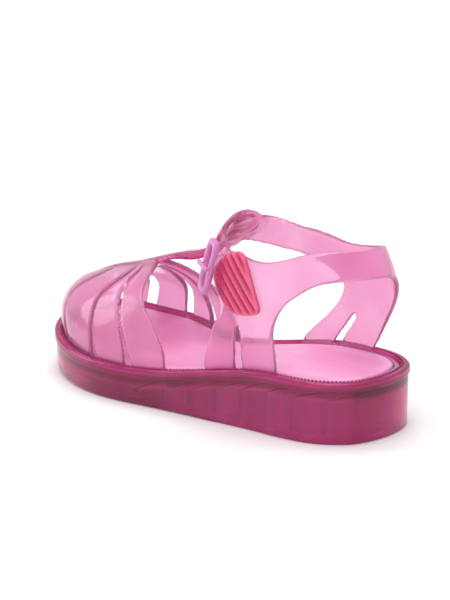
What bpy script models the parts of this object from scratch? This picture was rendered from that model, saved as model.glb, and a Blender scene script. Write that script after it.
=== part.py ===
"""Moulded jelly sandal, left foot, standing empty on its sole.

The frame: +X is the outer side of the foot, the toe points along -Y, Z is up.
A share t runs along the sole from the heel (0) to the toe tip (1).
"""
import math

import bmesh
import bpy
import numpy as np
from mathutils import Vector
from mathutils.geometry import delaunay_2d_cdt

for old in list(bpy.data.objects):
    bpy.data.objects.remove(old, do_unlink=True)

# Main sizes in metres.
LENGTH = 0.180
BALL_W = 0.0809
UPPER_H = 0.081
HEEL_H = 0.0259
FORE_H = 0.0155
TOE_SPRING = 0.0043

# Sole sizes.
RIM_W = 0.0036
RIM_ROUND = 0.0012
LIP_H = 0.0038
LIP_GROOVE = 0.0006
FOOT_INSET = 0.0011
TREAD_STEP = 0.0008
WALL = 0.0042
FLOOR_DROP = 0.0036
PLATE_T = 0.0050
RIB_T = 0.0018
OUTSOLE_T = 0.0030
TREAD_D = 0.0013
LUG_IN = 0.0015
GAP = 0.0003

# Upper and insole sizes.
SHELL_T = 0.0020
RING_W = 0.0025
RING_TOP = 0.0010
INSOLE_T = 0.0029
SKIRT = 0.0028
TOE_BULGE = 0.0068
SPINE_W = 0.0072
SPINE_UP = 0.0005
SPINE_BACK = 0.0009
SPINE_DEEP = 0.0012
STRAP_W = 0.0124
HEAD_L = 0.0155
HEAD_W = 0.0300
HEAD_T = 0.0026
HEAD_SLOT_L = 0.0150
HEAD_SLOT_W = 0.0034
HEAD_TILT = math.radians(60)
HEAD_SAG = 0.0030

# Fastening sizes.
FRAME_L = 0.0235
FRAME_W = 0.0136
FRAME_BAR = 0.0030
FRAME_OFF = 0.0018
PRONG_D = 0.0020
TAIL_T = 0.0020
TAIL_RIB = 0.0007

# Spacing of the points on the curved sheets.
PANEL_EDGE = 0.0035
PANEL_GRID = 0.0048
TAIL_EDGE_STEP = 0.0022
TAIL_GRID = 0.0016

OUTLINE_N = 80

# Sole edge. t, outer half width and inner half width in shares of the ball width.
SOLE_EDGE = (
    (0.000, 0.000, 0.000),
    (0.012, 0.166, 0.158),
    (0.040, 0.269, 0.257),
    (0.100, 0.357, 0.332),
    (0.180, 0.390, 0.348),
    (0.300, 0.398, 0.334),
    (0.420, 0.422, 0.308),
    (0.540, 0.447, 0.340),
    (0.640, 0.472, 0.434),
    (0.720, 0.470, 0.503),
    (0.800, 0.425, 0.527),
    (0.880, 0.334, 0.491),
    (0.940, 0.215, 0.442),
    (0.980, 0.069, 0.338),
    (1.000, -0.120, 0.120),
)

# Line over the instep. t, side offset in shares of the ball width, height in shares of the upper.
CREST = (
    (0.452, 0.000, 0.900),
    (0.475, 0.000, 0.838),
    (0.515, 0.000, 0.786),
    (0.563, -0.010, 0.740),
    (0.622, -0.022, 0.704),
    (0.688, -0.032, 0.655),
    (0.764, -0.040, 0.595),
    (0.835, -0.050, 0.548),
    (0.890, -0.062, 0.498),
    (0.943, -0.080, 0.424),
)

# Where a cage line that starts at share q of the half edge, heel to toe tip, meets the crest.
CAGE_TOP = (
    (0.410, 0.660),
    (0.525, 0.715),
    (0.627, 0.755),
    (0.718, 0.800),
    (0.791, 0.845),
    (0.886, 0.885),
    (1.000, 0.930),
)

# Cage slits. h up the bar, then q of the slit centres, then half width in shares of the length.
SLITS_OUT = (
    (0.00, 0.505, 0.593, 0.684, 0.801, 0.900, 0.0089),
    (0.10, 0.508, 0.600, 0.692, 0.812, 0.907, 0.0061),
    (0.30, 0.535, 0.621, 0.706, 0.836, 0.922, 0.0039),
    (0.48, 0.564, 0.635, 0.711, 0.843, 0.926, 0.0044),
    (0.62, 0.569, 0.636, 0.693, 0.823, 0.916, 0.0067),
    (0.76, 0.554, 0.624, 0.663, 0.788, 0.898, 0.0078),
    (0.90, 0.528, 0.595, 0.637, 0.754, 0.880, 0.0044),
    (1.00, 0.514, 0.576, 0.624, 0.740, 0.870, 0.0022),
)
SLITS_IN = (
    (0.00, 0.536, 0.643, 0.742, 0.842, 0.920, 0.0111),
    (0.10, 0.541, 0.646, 0.741, 0.840, 0.921, 0.0122),
    (0.30, 0.555, 0.655, 0.725, 0.829, 0.918, 0.0117),
    (0.48, 0.574, 0.660, 0.723, 0.827, 0.916, 0.0089),
    (0.62, 0.576, 0.655, 0.711, 0.818, 0.908, 0.0072),
    (0.76, 0.560, 0.638, 0.686, 0.799, 0.898, 0.0067),
    (0.90, 0.532, 0.606, 0.655, 0.770, 0.886, 0.0044),
    (1.00, 0.518, 0.584, 0.638, 0.759, 0.878, 0.0022),
)
SPINE_COVER = 0.007

# Heel and ankle shape. s runs from the outer side (-) round the heel (0) to the inner side (+).
# Side offset in shares of the ball width and t, at mid height and at the top line.
ANKLE = (
    (-0.50, 0.334, 0.500, 0.247, 0.500),
    (-0.40, 0.371, 0.400, 0.321, 0.400),
    (-0.30, 0.365, 0.300, 0.328, 0.300),
    (-0.20, 0.328, 0.200, 0.290, 0.200),
    (-0.12, 0.266, 0.110, 0.222, 0.132),
    (-0.05, 0.155, 0.030, 0.117, 0.078),
    (0.00, -0.012, 0.003, -0.012, 0.064),
    (0.05, -0.173, 0.030, -0.136, 0.078),
    (0.12, -0.260, 0.110, -0.216, 0.132),
    (0.20, -0.297, 0.200, -0.253, 0.200),
    (0.30, -0.309, 0.300, -0.272, 0.300),
    (0.40, -0.298, 0.400, -0.247, 0.400),
    (0.50, -0.180, 0.500, -0.100, 0.500),
)
Z_MID, Z_TOP = 0.617, 0.951

# Edge of the rear panel: s and height in shares of the upper; 0 stands for the sole's ring.
REAR_EDGE = (
    (-0.416, 0.000), (-0.402, 0.390), (-0.382, 0.506), (-0.365, 0.581), (-0.368, 0.640),
    (-0.383, 0.701), (-0.389, 0.765), (-0.384, 0.850), (-0.352, 0.896), (-0.304, 0.884),
    (-0.262, 0.868), (-0.216, 0.885), (-0.151, 0.932), (-0.090, 0.952), (-0.040, 0.950),
    (0.000, 0.946), (0.040, 0.936), (0.090, 0.912), (0.150, 0.882), (0.220, 0.864),
    (0.299, 0.886), (0.359, 0.895), (0.415, 0.905), (0.415, 0.758), (0.367, 0.744),
    (0.300, 0.715), (0.250, 0.655), (0.242, 0.594), (0.274, 0.485), (0.341, 0.330),
    (0.352, 0.000), (0.268, 0.000), (0.262, 0.330), (0.214, 0.480), (0.205, 0.490),
    (0.202, 0.478), (0.243, 0.330), (0.250, 0.000), (0.160, 0.000), (0.152, 0.330),
    (0.122, 0.460), (0.092, 0.590), (0.068, 0.690), (0.045, 0.755), (0.019, 0.800),
    (-0.026, 0.815), (-0.075, 0.810), (-0.132, 0.778), (-0.175, 0.710), (-0.197, 0.660),
    (-0.215, 0.578), (-0.220, 0.500), (-0.214, 0.390), (-0.211, 0.000), (-0.307, 0.000),
    (-0.308, 0.390), (-0.310, 0.518), (-0.315, 0.524), (-0.320, 0.518), (-0.326, 0.390),
    (-0.330, 0.000),
)
# Corners of that edge that stay sharp, by their place in the list.
REAR_SHARP = (0, 22, 23, 30, 31, 37, 38, 53, 54, 60)

# Edge of the ribbed strap end on the outer panel.
TAIL_EDGE = (
    (-0.372, 0.790), (-0.356, 0.850), (-0.326, 0.898), (-0.302, 0.896), (-0.286, 0.840),
    (-0.258, 0.690), (-0.250, 0.632), (-0.262, 0.602), (-0.312, 0.594), (-0.336, 0.625),
    (-0.362, 0.710),
)
TAIL_OFF = 0.0005

# Ankle strap. Side offset in shares of the ball width, t and height in shares of the upper,
# then the direction of its width.
STRAP_PATH = (
    (-0.2868, 0.3806, 0.8247, 0.00, 0.05, 1.00),
    (-0.2563, 0.4219, 0.8420, 0.00, 0.10, 1.00),
    (-0.1861, 0.4421, 0.8691, 0.00, 0.28, 0.96),
    (-0.0841, 0.4461, 0.8975, 0.00, 0.45, 0.89),
    (0.0210, 0.4434, 0.9136, 0.00, 0.50, 0.87),
    (0.1277, 0.4494, 0.9037, -0.10, 0.42, 0.90),
    (0.1959, 0.4369, 0.8568, -0.18, 0.30, 0.93),
    (0.2394, 0.4123, 0.7901, -0.18, 0.24, 0.95),
    (0.2967, 0.3922, 0.7481, -0.10, 0.12, 1.00),
    (0.3498, 0.3694, 0.7346, -0.03, 0.05, 1.00),
)
# Middle of the buckle frame and of the head plate, in the same three shares.
FRAME_AT = (0.2469, 0.4201, 0.7561)
FRAME_UP = (-0.145, 0.195, 0.958)
FRAME_RUN = (0.60, 0.80, 0.0)
HEAD_AT = (0.0200, 0.4489, 0.9213)

# Colours: name, base colour, roughness.
COLOURS = (
    ("platform_jelly", (0.33, 0.035, 0.13, 1.0), 0.16),
    ("outsole_jelly", (0.38, 0.04, 0.15, 1.0), 0.25),
    ("insole_satin", (0.88, 0.30, 0.58, 1.0), 0.42),
    ("upper_jelly", (0.80, 0.27, 0.50, 1.0), 0.14),
    ("tail_coral", (0.80, 0.07, 0.12, 1.0), 0.30),
    ("buckle_orchid", (0.52, 0.14, 0.42, 1.0), 0.18),
)


def cubic_closed(points, count):
    """Even points on a smooth closed curve through the given points."""
    pts = np.asarray(points, float)
    n = len(pts)
    u = np.linspace(0, n, count, endpoint=False)
    i = np.floor(u).astype(int) % n
    f = (u - np.floor(u))[:, None]
    a, b, c, d = [pts[(i + k) % n] for k in (-1, 0, 1, 2)]
    return 0.5 * (2 * b + (c - a) * f + (2 * a - 5 * b + 4 * c - d) * f**2
                  + (3 * b - a - 3 * c + d) * f**3)


def look_up(rows, x):
    """Smooth values of a table at x; the first column is the key."""
    tab = np.asarray(rows, float)
    keys = tab[:, 0]
    x = float(min(max(x, keys[0]), keys[-1]))
    k = int(min(max(np.searchsorted(keys, x, side="right") - 1, 0), len(keys) - 2))
    slope = np.gradient(tab[:, 1:], keys, axis=0)
    h = keys[k + 1] - keys[k]
    f = (x - keys[k]) / h
    return (tab[k, 1:] * (2 * f**3 - 3 * f * f + 1) + slope[k] * h * (f**3 - 2 * f * f + f)
            + tab[k + 1, 1:] * (3 * f * f - 2 * f**3) + slope[k + 1] * h * (f**3 - f * f))


def smooth(x):
    x = np.clip(x, 0, 1)
    return x * x * (3 - 2 * x)


def spring(t):
    """Lift of the sole towards the toe."""
    return TOE_SPRING * np.clip((t - 0.74) / 0.26, 0, 1) ** 2


def rim(t):
    """Height of the sole's rim."""
    w = smooth((t - 0.20) / 0.43)
    return HEEL_H * (1 - w) + FORE_H * w + spring(t)


def foot_edge(t):
    """Height of the side wall's lower edge: a small step behind the forefoot tread."""
    return spring(t) + TREAD_STEP * smooth((t - 0.40) / 0.05)


def sole_outline(count):
    outer = [(w * BALL_W, LENGTH * (0.5 - t)) for t, w, _ in SOLE_EDGE]
    inner = [(-w * BALL_W, LENGTH * (0.5 - t)) for t, _, w in SOLE_EDGE]
    dense = cubic_closed(outer + inner[::-1][1:-1], 1440)
    step = np.linalg.norm(np.roll(dense, -1, 0) - dense, axis=1)
    run = np.concatenate([[0], np.cumsum(step)])
    closed = np.vstack([dense, dense[:1]])
    at = np.linspace(0, run[-1], count, endpoint=False)
    return np.c_[np.interp(at, run, closed[:, 0]), np.interp(at, run, closed[:, 1])]


FINE = sole_outline(1440)


def drawn_in(points, d):
    """The closed outline moved inwards by d."""
    along = np.roll(points, -1, 0) - np.roll(points, 1, 0)
    along /= np.linalg.norm(along, axis=1)[:, None]
    return points + np.c_[along[:, 1], -along[:, 0]] * d


def share(y):
    return 0.5 - y / LENGTH


def placed(shares):
    """Point from its side offset, its share of the length and its height, all in shares."""
    x, t, z = shares
    return np.array([x * BALL_W, LENGTH * (0.5 - t), z * UPPER_H])


UPPER_IN = RIM_W + GAP


def half_line(side, d):
    """One side of the drawn-in outline from heel to toe tip, with its running share."""
    line = drawn_in(FINE, d)
    tip = int(np.argmin(line[:, 1]))
    heel = int(np.argmax(line[:, 1]))
    n = len(line)
    if side > 0:
        half = line[np.arange(heel, heel + (tip - heel) % n + 1) % n]
    else:
        half = line[np.arange(tip, tip + (heel - tip) % n + 1)[::-1] % n]
    step = np.linalg.norm(np.diff(half, axis=0), axis=1)
    run = np.concatenate([[0], np.cumsum(step)])
    return half, run


SIDE_LINES = {}
CAGE_LINES = {1: half_line(1, UPPER_IN), -1: half_line(-1, UPPER_IN)}


def side_point(side, t, d):
    """Point of the outline drawn in by d, at share t on one side of the foot."""
    if d not in SIDE_LINES:
        SIDE_LINES[d] = {1: half_line(1, d), -1: half_line(-1, d)}
    half = SIDE_LINES[d][side][0]
    ts = share(half[:, 1])
    t = min(max(t, ts[0]), ts[-1])
    return float(np.interp(t, ts, half[:, 0])), float(np.interp(t, ts, half[:, 1]))


def cage_foot(side, q):
    """Foot of a cage line at share q of the half edge."""
    half, run = CAGE_LINES[side]
    at = min(max(q, 0.0), 1.0) * run[-1]
    return float(np.interp(at, run, half[:, 0])), float(np.interp(at, run, half[:, 1]))


def crest(t):
    x, z = look_up(CREST, t)
    return placed((x, t, z))


def cage(side, q, h):
    """The forefoot's surface; h from the rim (0) to the crest (1), below 0 down the skirt."""
    x, y = cage_foot(side, q)
    foot = np.array([x, y, rim(share(y)) + GAP])
    if h < 0:
        return foot + np.array([0, 0, h * SKIRT])
    top = crest(look_up(CAGE_TOP, q)[0])
    out = foot - top
    out[2] = 0
    far = np.linalg.norm(out)
    push = TOE_BULGE * smooth((q - 0.6) / 0.35)
    a = foot + np.array([0, 0, 0.62 * (top[2] - foot[2])]) + out / far * push
    b = top + out * 0.5
    return ((1 - h) ** 3 * foot + 3 * (1 - h) ** 2 * h * a
            + 3 * (1 - h) * h * h * b + h ** 3 * top)


def ankle_rows():
    rows = []
    d = UPPER_IN + GAP
    for s, xm, tm, xt, tt in ANKLE:
        side = math.copysign(1, -s)
        if s == 0:
            low = (-0.004, d / LENGTH)
        else:
            t = max(abs(s), 0.042)
            low = (side_point(side, t, d)[0] / BALL_W, t)
        rows.append((s, low[0], low[1], xm, tm, xt, tt))
    return rows


ANKLE_ROWS = ankle_rows()


def ankle(s, v):
    """The heel's surface; v is the height in shares of the upper's height."""
    row = look_up(ANKLE_ROWS, s)
    foot = float(rim(row[1]) + GAP) / UPPER_H
    height = v
    v = max(v, foot)
    a = (v - Z_MID) * (v - Z_TOP) / ((foot - Z_MID) * (foot - Z_TOP))
    b = (v - foot) * (v - Z_TOP) / ((Z_MID - foot) * (Z_MID - Z_TOP))
    c = (v - foot) * (v - Z_MID) / ((Z_TOP - foot) * (Z_TOP - Z_MID))
    x = row[0] * a + row[2] * b + row[4] * c
    t = row[1] * a + row[3] * b + row[5] * c
    return placed((x, t, height))


def normal_of(surface, u, v, away):
    """Unit normal of a surface, turned away from a point inside the foot."""
    du, dv = 0.004, 0.01
    a = surface(u + du, v) - surface(u - du, v)
    b = surface(u, v + dv) - surface(u, v - dv)
    n = np.cross(a, b)
    n /= np.linalg.norm(n)
    if np.dot(n, surface(u, v) - away) < 0:
        n = -n
    return n


def new_object(name, verts, faces, material):
    mesh = bpy.data.meshes.new(name)
    mesh.from_pydata([tuple(map(float, v)) for v in verts], [], faces)
    mesh.update()
    obj = bpy.data.objects.new(name, mesh)
    bpy.context.scene.collection.objects.link(obj)
    mesh.materials.append(material)
    tidy(obj)
    return obj


def tidy(obj, weld=0.00002):
    """Weld double points, make triangles and turn every face outwards."""
    bm = bmesh.new()
    bm.from_mesh(obj.data)
    bmesh.ops.remove_doubles(bm, verts=bm.verts, dist=weld)
    bmesh.ops.dissolve_degenerate(bm, dist=weld / 2, edges=bm.edges)
    bmesh.ops.triangulate(bm, faces=bm.faces)
    bmesh.ops.recalc_face_normals(bm, faces=bm.faces)
    if bm.calc_volume(signed=True) < 0:
        bmesh.ops.reverse_faces(bm, faces=bm.faces)
    bm.to_mesh(obj.data)
    bm.free()
    for poly in obj.data.polygons:
        poly.use_smooth = True


def combine(obj, others, operation):
    """Exact Boolean of an object with a list of others, which are used up."""
    for other in others:
        mod = obj.modifiers.new("combine", "BOOLEAN")
        mod.operation = operation
        mod.solver = "EXACT"
        mod.object = other
        bpy.context.view_layer.update()
        graph = bpy.context.evaluated_depsgraph_get()
        mesh = bpy.data.meshes.new_from_object(obj.evaluated_get(graph))
        obj.modifiers.remove(mod)
        obj.data = mesh
        bpy.data.objects.remove(other, do_unlink=True)
    tidy(obj)
    return obj


def loft(name, rings, material, closed=False):
    """Skin rings of equal length; the ends are capped unless the rings close on themselves."""
    n = len(rings[0])
    verts = [p for ring in rings for p in ring]
    faces = []
    spans = len(rings) if closed else len(rings) - 1
    for k in range(spans):
        a = k * n
        b = ((k + 1) % len(rings)) * n
        for i in range(n):
            j = (i + 1) % n
            faces.append((a + i, a + j, b + j, b + i))
    if not closed:
        faces.append(tuple(range(n))[::-1])
        faces.append(tuple(range((len(rings) - 1) * n, len(rings) * n)))
    return new_object(name, verts, faces, material)


def sole_ring(base, d, height):
    """Outline drawn in by d, with the height as a function of t."""
    return [(x, y, float(height(share(y)))) for x, y in drawn_in(base, d)]


def cap(ring, faces, offset):
    """Triangles that fill a ring seen from above."""
    flat = [Vector((p[0], p[1])) for p in ring]
    n = len(flat)
    edges = [(i, (i + 1) % n) for i in range(n)]
    done = delaunay_2d_cdt(flat, edges, [], 1, 1e-7)
    for tri in done[2]:
        faces.append(tuple(offset + done[3][v][0] for v in tri))


def capped_loft(name, rings, material):
    """Skin flat-ish rings of the sole and fill the first and the last one."""
    n = len(rings[0])
    verts = [p for ring in rings for p in ring]
    faces = []
    for k in range(len(rings) - 1):
        for i in range(n):
            j = (i + 1) % n
            faces.append((k * n + i, k * n + j, (k + 1) * n + j, (k + 1) * n + i))
    cap(rings[0], faces, 0)
    cap(rings[-1], faces, (len(rings) - 1) * n)
    return new_object(name, verts, faces, material)


def strip(name, t0, t1, d, low, high, material):
    """A slab across the sole between two shares of its length."""
    count = 5
    low_ring, high_ring = [], []
    for side, order in ((1, 1), (-1, -1)):
        for k in range(count)[::order]:
            t = t0 + (t1 - t0) * k / (count - 1)
            x, y = side_point(side, t, d)
            low_ring.append((x, y, float(low(t))))
            high_ring.append((x, y, float(high(t))))
    return loft(name, [low_ring, high_ring], material)


def fitted_edge(points, sharp, spacing, place):
    """Smooth a chart edge through its points, keep sharp corners and space it evenly."""
    n = len(points)
    pts = np.asarray(points, float)
    out = []
    for i in range(n):
        b, c = pts[i], pts[(i + 1) % n]
        a = pts[i - 1] if i not in sharp else 2 * b - c
        d = pts[(i + 2) % n] if (i + 1) % n not in sharp else 2 * c - b
        gap = np.linalg.norm(place(c) - place(b))
        steps = max(1, int(round(gap / spacing)))
        for k in range(steps):
            f = k / steps
            out.append(0.5 * (2 * b + (c - a) * f + (2 * a - 5 * b + 4 * c - d) * f * f
                              + (3 * b - a - 3 * c + d) * f**3))
    return out


def inside(point, loop):
    """True when a chart point lies inside a closed loop."""
    x, y = point
    hit = False
    for (x0, y0), (x1, y1) in zip(loop, loop[1:] + loop[:1]):
        if (y0 > y) != (y1 > y) and x < (x1 - x0) * (y - y0) / (y1 - y0) + x0:
            hit = not hit
    return hit


def chart_panel(name, loop, surface, away, up, down, spacing, material, lift=None):
    """A curved sheet with the given edge; up and down are offsets along the normal."""
    xs = [p[0] for p in loop]
    ys = [p[1] for p in loop]
    du = spacing / LENGTH
    dv = spacing / UPPER_H
    grid = []
    rows = int((max(ys) - min(ys)) / dv) + 1
    for r in range(1, rows):
        v = min(ys) + r * dv
        cols = int((max(xs) - min(xs)) / du) + 1
        for c in range(1, cols):
            u = min(xs) + (c + 0.5 * (r % 2)) * du
            near = min((u - x) ** 2 / du**2 + (v - y) ** 2 / dv**2 for x, y in loop)
            if near > 0.30 and inside((u, v), loop):
                grid.append((u, v))
    flat = [Vector((u / du, v / dv)) for u, v in list(loop) + grid]
    n = len(loop)
    edges = [(i, (i + 1) % n) for i in range(n)]
    done = delaunay_2d_cdt(flat, edges, [], 1, 1e-7)
    chart = list(loop) + grid
    verts = []
    for offset in (up, down):
        for u, v in chart:
            more = lift(u, v) if lift and offset == up else 0
            verts.append(surface(u, v) + normal_of(surface, u, v, away(u, v)) * (offset + more))
    faces = []
    total = len(chart)
    for tri in done[2]:
        a, b, c = [done[3][v][0] for v in tri]
        faces.append((a, b, c))
        faces.append((total + c, total + b, total + a))
    for i in range(n):
        j = (i + 1) % n
        faces.append((j, i, total + i, total + j))
    return new_object(name, verts, faces, material)


def ribbon(name, centres, widths, normals, halves, up, down, material):
    """A strap through the given centres, with a slightly crowned outer face."""
    rings = []
    downs = np.broadcast_to(down, len(centres))
    for c, w, n, half, down in zip(centres, widths, normals, halves, downs):
        ring = []
        for a, b in ((-1, down), (-1, up * 0.6), (-0.8, up), (0.8, up), (1, up * 0.6), (1, down)):
            ring.append(c + w * (a * half) + n * b)
        rings.append(ring)
    return loft(name, rings, material)


def spaced_rows(rows, count):
    """Smooth rows along a path, spaced evenly by the row number."""
    tab = np.c_[np.arange(len(rows)), np.asarray(rows, float)]
    return [look_up(tab, u) for u in np.linspace(0, len(rows) - 1, count)]


def make_materials():
    made = {}
    for name, colour, rough in COLOURS:
        mat = bpy.data.materials.new(name)
        mat.use_nodes = True
        node = mat.node_tree.nodes["Principled BSDF"]
        node.inputs["Base Color"].default_value = colour
        node.inputs["Roughness"].default_value = rough
        node.inputs["Metallic"].default_value = 0.0
        mat.diffuse_color = colour
        made[name] = mat
    return made


def make_platform(mats):
    """Side wall, rim and top plate in one, hollow and ribbed from below."""
    base = sole_outline(OUTLINE_N)
    ceiling = FLOOR_DROP + PLATE_T
    low = lambda t: foot_edge(t)
    rings = [
        sole_ring(base, WALL, lambda t: rim(t) - ceiling),
        sole_ring(base, WALL, low),
        sole_ring(base, FOOT_INSET + RIM_ROUND * 0.4, low),
        sole_ring(base, FOOT_INSET * 0.7, lambda t: low(t) + RIM_ROUND * 0.8),
        sole_ring(base, LIP_GROOVE, lambda t: rim(t) - LIP_H),
        sole_ring(base, 0.0, lambda t: rim(t) - LIP_H * 0.82),
        sole_ring(base, 0.0, lambda t: rim(t) - RIM_ROUND),
        sole_ring(base, RIM_ROUND * 0.4, lambda t: rim(t) - RIM_ROUND * 0.3),
        sole_ring(base, RIM_ROUND, lambda t: rim(t)),
        sole_ring(base, RIM_W - RIM_ROUND * 0.5, lambda t: rim(t)),
        sole_ring(base, RIM_W, lambda t: rim(t) - RIM_ROUND * 0.6),
        sole_ring(base, RIM_W, lambda t: rim(t) - FLOOR_DROP),
    ]
    body = capped_loft("platform", rings, mats["platform_jelly"])
    ribs = []
    foot = lambda t: foot_edge(t) + OUTSOLE_T + TREAD_D
    top = lambda t: rim(t) - FLOOR_DROP - PLATE_T * 0.5
    for k, t in enumerate(np.arange(0.09, 0.60, 0.072)):
        half = RIB_T / LENGTH / 2
        ribs.append(strip("rib_%d" % k, t - half, t + half, WALL * 0.7, foot, top,
                          mats["platform_jelly"]))
    return combine(body, ribs, "UNION")


def make_outsole(mats):
    """Tread plate that closes the hollow platform, with cross lugs."""
    base = sole_outline(OUTLINE_N)
    d = WALL + GAP
    rings = [
        sole_ring(base, d, lambda t: spring(t) + TREAD_D),
        sole_ring(base, d, lambda t: spring(t) + OUTSOLE_T),
    ]
    plate = capped_loft("outsole", rings, mats["outsole_jelly"])
    lugs = []
    for k, (t0, t1) in enumerate(((0.045, 0.10), (0.125, 0.185), (0.21, 0.27), (0.295, 0.37),
                                  (0.47, 0.53), (0.555, 0.615), (0.64, 0.70), (0.725, 0.785),
                                  (0.81, 0.865), (0.89, 0.94))):
        lugs.append(strip("lug_%d" % k, t0, t1, d + LUG_IN, spring,
                          lambda t: spring(t) + (TREAD_D + OUTSOLE_T) / 2,
                          mats["outsole_jelly"]))
    return combine(plate, lugs, "UNION")


def make_insole(mats):
    base = sole_outline(OUTLINE_N)
    d = UPPER_IN + GAP + RING_W + GAP
    rings = [
        sole_ring(base, d, lambda t: rim(t) - FLOOR_DROP + GAP),
        sole_ring(base, d, lambda t: rim(t) - FLOOR_DROP + GAP + INSOLE_T * 0.7),
        sole_ring(base, d + INSOLE_T * 0.4, lambda t: rim(t) - FLOOR_DROP + GAP + INSOLE_T),
    ]
    return capped_loft("insole", rings, mats["insole_satin"])


def ring_height(t):
    return rim(t) - FLOOR_DROP + GAP


def make_ring(mats):
    """The moulded edge that joins every strap inside the rim."""
    base = sole_outline(OUTLINE_N)
    d0 = UPPER_IN + GAP * 0.7
    d1 = d0 + RING_W
    top = lambda t: rim(t) - RING_TOP
    rings = [
        sole_ring(base, d0, ring_height),
        sole_ring(base, d0, top),
        sole_ring(base, d1, top),
        sole_ring(base, d1, ring_height),
    ]
    return loft("upper", rings, mats["upper_jelly"], closed=True)


def make_bars(mats):
    """Cage bars between the slits, on both sides of the spine."""
    bars = []
    levels = (-1.0, 0.0, 0.10, 0.22, 0.36, 0.50, 0.64, 0.78, 0.90, 0.96)
    for side, table in ((1, SLITS_OUT), (-1, SLITS_IN)):
        last = len(table[0]) - 3
        for k in range(last + 1):
            across = 4
            outer, inner = [], []
            for h in levels:
                row = look_up(table, h)
                clear = row[-1]
                a = row[k] + (clear if k else 0)
                b = row[k + 1] - clear if k < last else 1.0 - SPINE_COVER
                line_out, line_in = [], []
                for j in range(across):
                    q = a + (b - a) * j / (across - 1)
                    point = cage(side, q, h)
                    away = np.array([crest(0.8)[0], point[1] * 0.8, rim(0.7)])
                    n = normal_of(lambda u, v: cage(side, u, v), min(q, 0.99), max(h, 0.02), away)
                    if h <= 0:
                        n[2] = 0
                        n /= np.linalg.norm(n)
                    line_out.append(point)
                    line_in.append(point - n * SHELL_T)
                outer.append(line_out)
                inner.append(line_in)
            rings = [o + i[::-1] for o, i in zip(outer, inner)]
            bars.append(loft("bar_%s%d" % ("o" if side > 0 else "i", k), rings,
                             mats["upper_jelly"]))
    return bars


def spine_deep(t):
    """How much thicker the spine is where it runs free between the cage and the head."""
    return SPINE_DEEP * float(smooth((0.66 - t) / 0.08) * smooth((t - 0.450) / 0.025))


def make_spine(mats):
    """The strap over the middle of the forefoot, up to the head plate."""
    rows = []
    for h in (-1.0, 0.0, 0.25, 0.5, 0.75, 1.0):
        back = SPINE_BACK if h <= 0 else 0
        rows.append(tuple(cage(1, 1.0, h) + np.array([0, back, 0])))
    for t in (0.890, 0.835, 0.764, 0.688, 0.622, 0.563, 0.515, 0.475, 0.452):
        rows.append(tuple(crest(t)))
    rows = spaced_rows(rows, 28)
    centres = [np.array(r) for r in rows]
    widths, normals, halves = [], [], []
    for k, c in enumerate(centres):
        run = centres[min(k + 1, len(centres) - 1)] - centres[max(k - 1, 0)]
        run /= np.linalg.norm(run)
        w = np.array([1.0, 0, 0]) - run * run[0]
        w /= np.linalg.norm(w)
        n = np.cross(w, run)
        if n[2] - n[1] < 0:
            n = -n
        widths.append(w)
        normals.append(n)
        halves.append(SPINE_W / 2 * (1 + 0.25 * float(smooth((k - 14) / 10))))
    downs = [-SHELL_T - spine_deep(0.5 - c[1] / LENGTH) for c in centres]
    return ribbon("spine", centres, widths, normals, halves, SPINE_UP, downs,
                  mats["upper_jelly"])


def head_axes():
    along = np.array([0, math.cos(HEAD_TILT), math.sin(HEAD_TILT)])
    across = np.array([1.0, 0, 0])
    return along, across, np.cross(across, along)


def head_point(x, z, lift):
    """Point of the head plate, bent round the ankle; x across, z up the plate."""
    along, across, up = head_axes()
    sag = HEAD_SAG * (2 * x / HEAD_W) ** 2
    return placed(HEAD_AT) + across * x + along * z + up * lift + np.array([0, sag, -sag * 0.8])


def make_head(mats):
    """Oval plate over the ankle strap, with a raised border and one slot across it."""
    rings = []
    for scale, z in ((0.94, -HEAD_T / 2), (1.0, -HEAD_T * 0.2), (1.0, HEAD_T * 0.3),
                     (0.94, HEAD_T / 2), (0.84, HEAD_T / 2), (0.78, HEAD_T * 0.2)):
        ring = []
        for k in range(32):
            a = 2 * math.pi * k / 32
            ring.append(head_point(math.cos(a) * HEAD_W / 2 * scale,
                                   math.sin(a) * HEAD_L / 2 * scale, z))
        rings.append(ring)
    plate = loft("head", rings, mats["upper_jelly"])
    slot = []
    for z in (-HEAD_T, HEAD_T):
        ring = []
        for k in range(16):
            a = 2 * math.pi * k / 16
            c, s = math.cos(a), math.sin(a)
            run = HEAD_SLOT_L / 2 - HEAD_SLOT_W / 2
            ring.append(head_point(math.copysign(run, c) + c * HEAD_SLOT_W / 2,
                                   s * HEAD_SLOT_W / 2, z))
        slot.append(ring)
    return combine(plate, [loft("slot", slot, mats["upper_jelly"])], "DIFFERENCE")


def strap_frame(rows):
    """Centres, width directions and outward normals along the ankle strap."""
    rows = [np.concatenate([placed(r[:3]), r[3:]]) for r in rows]
    centres, widths, normals = [], [], []
    middle = placed((0.0, 0.25, 0.74))
    for k, r in enumerate(rows):
        run = rows[min(k + 1, len(rows) - 1)][:3] - rows[max(k - 1, 0)][:3]
        run /= np.linalg.norm(run)
        w = r[3:] - run * np.dot(run, r[3:])
        w /= np.linalg.norm(w)
        n = np.cross(run, w)
        if np.dot(n, r[:3] - middle) < 0:
            n = -n
        centres.append(r[:3])
        widths.append(w)
        normals.append(n)
    return centres, widths, normals


def make_strap(mats):
    centres, widths, normals = strap_frame(spaced_rows(STRAP_PATH, 28))
    halves = [STRAP_W / 2] * len(centres)
    return ribbon("strap", centres, widths, normals, halves, 0.0, -SHELL_T, mats["upper_jelly"])


def ankle_away(u, v):
    return np.array([0.0, LENGTH * (0.5 - max(abs(u), 0.14)), v * UPPER_H])


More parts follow.
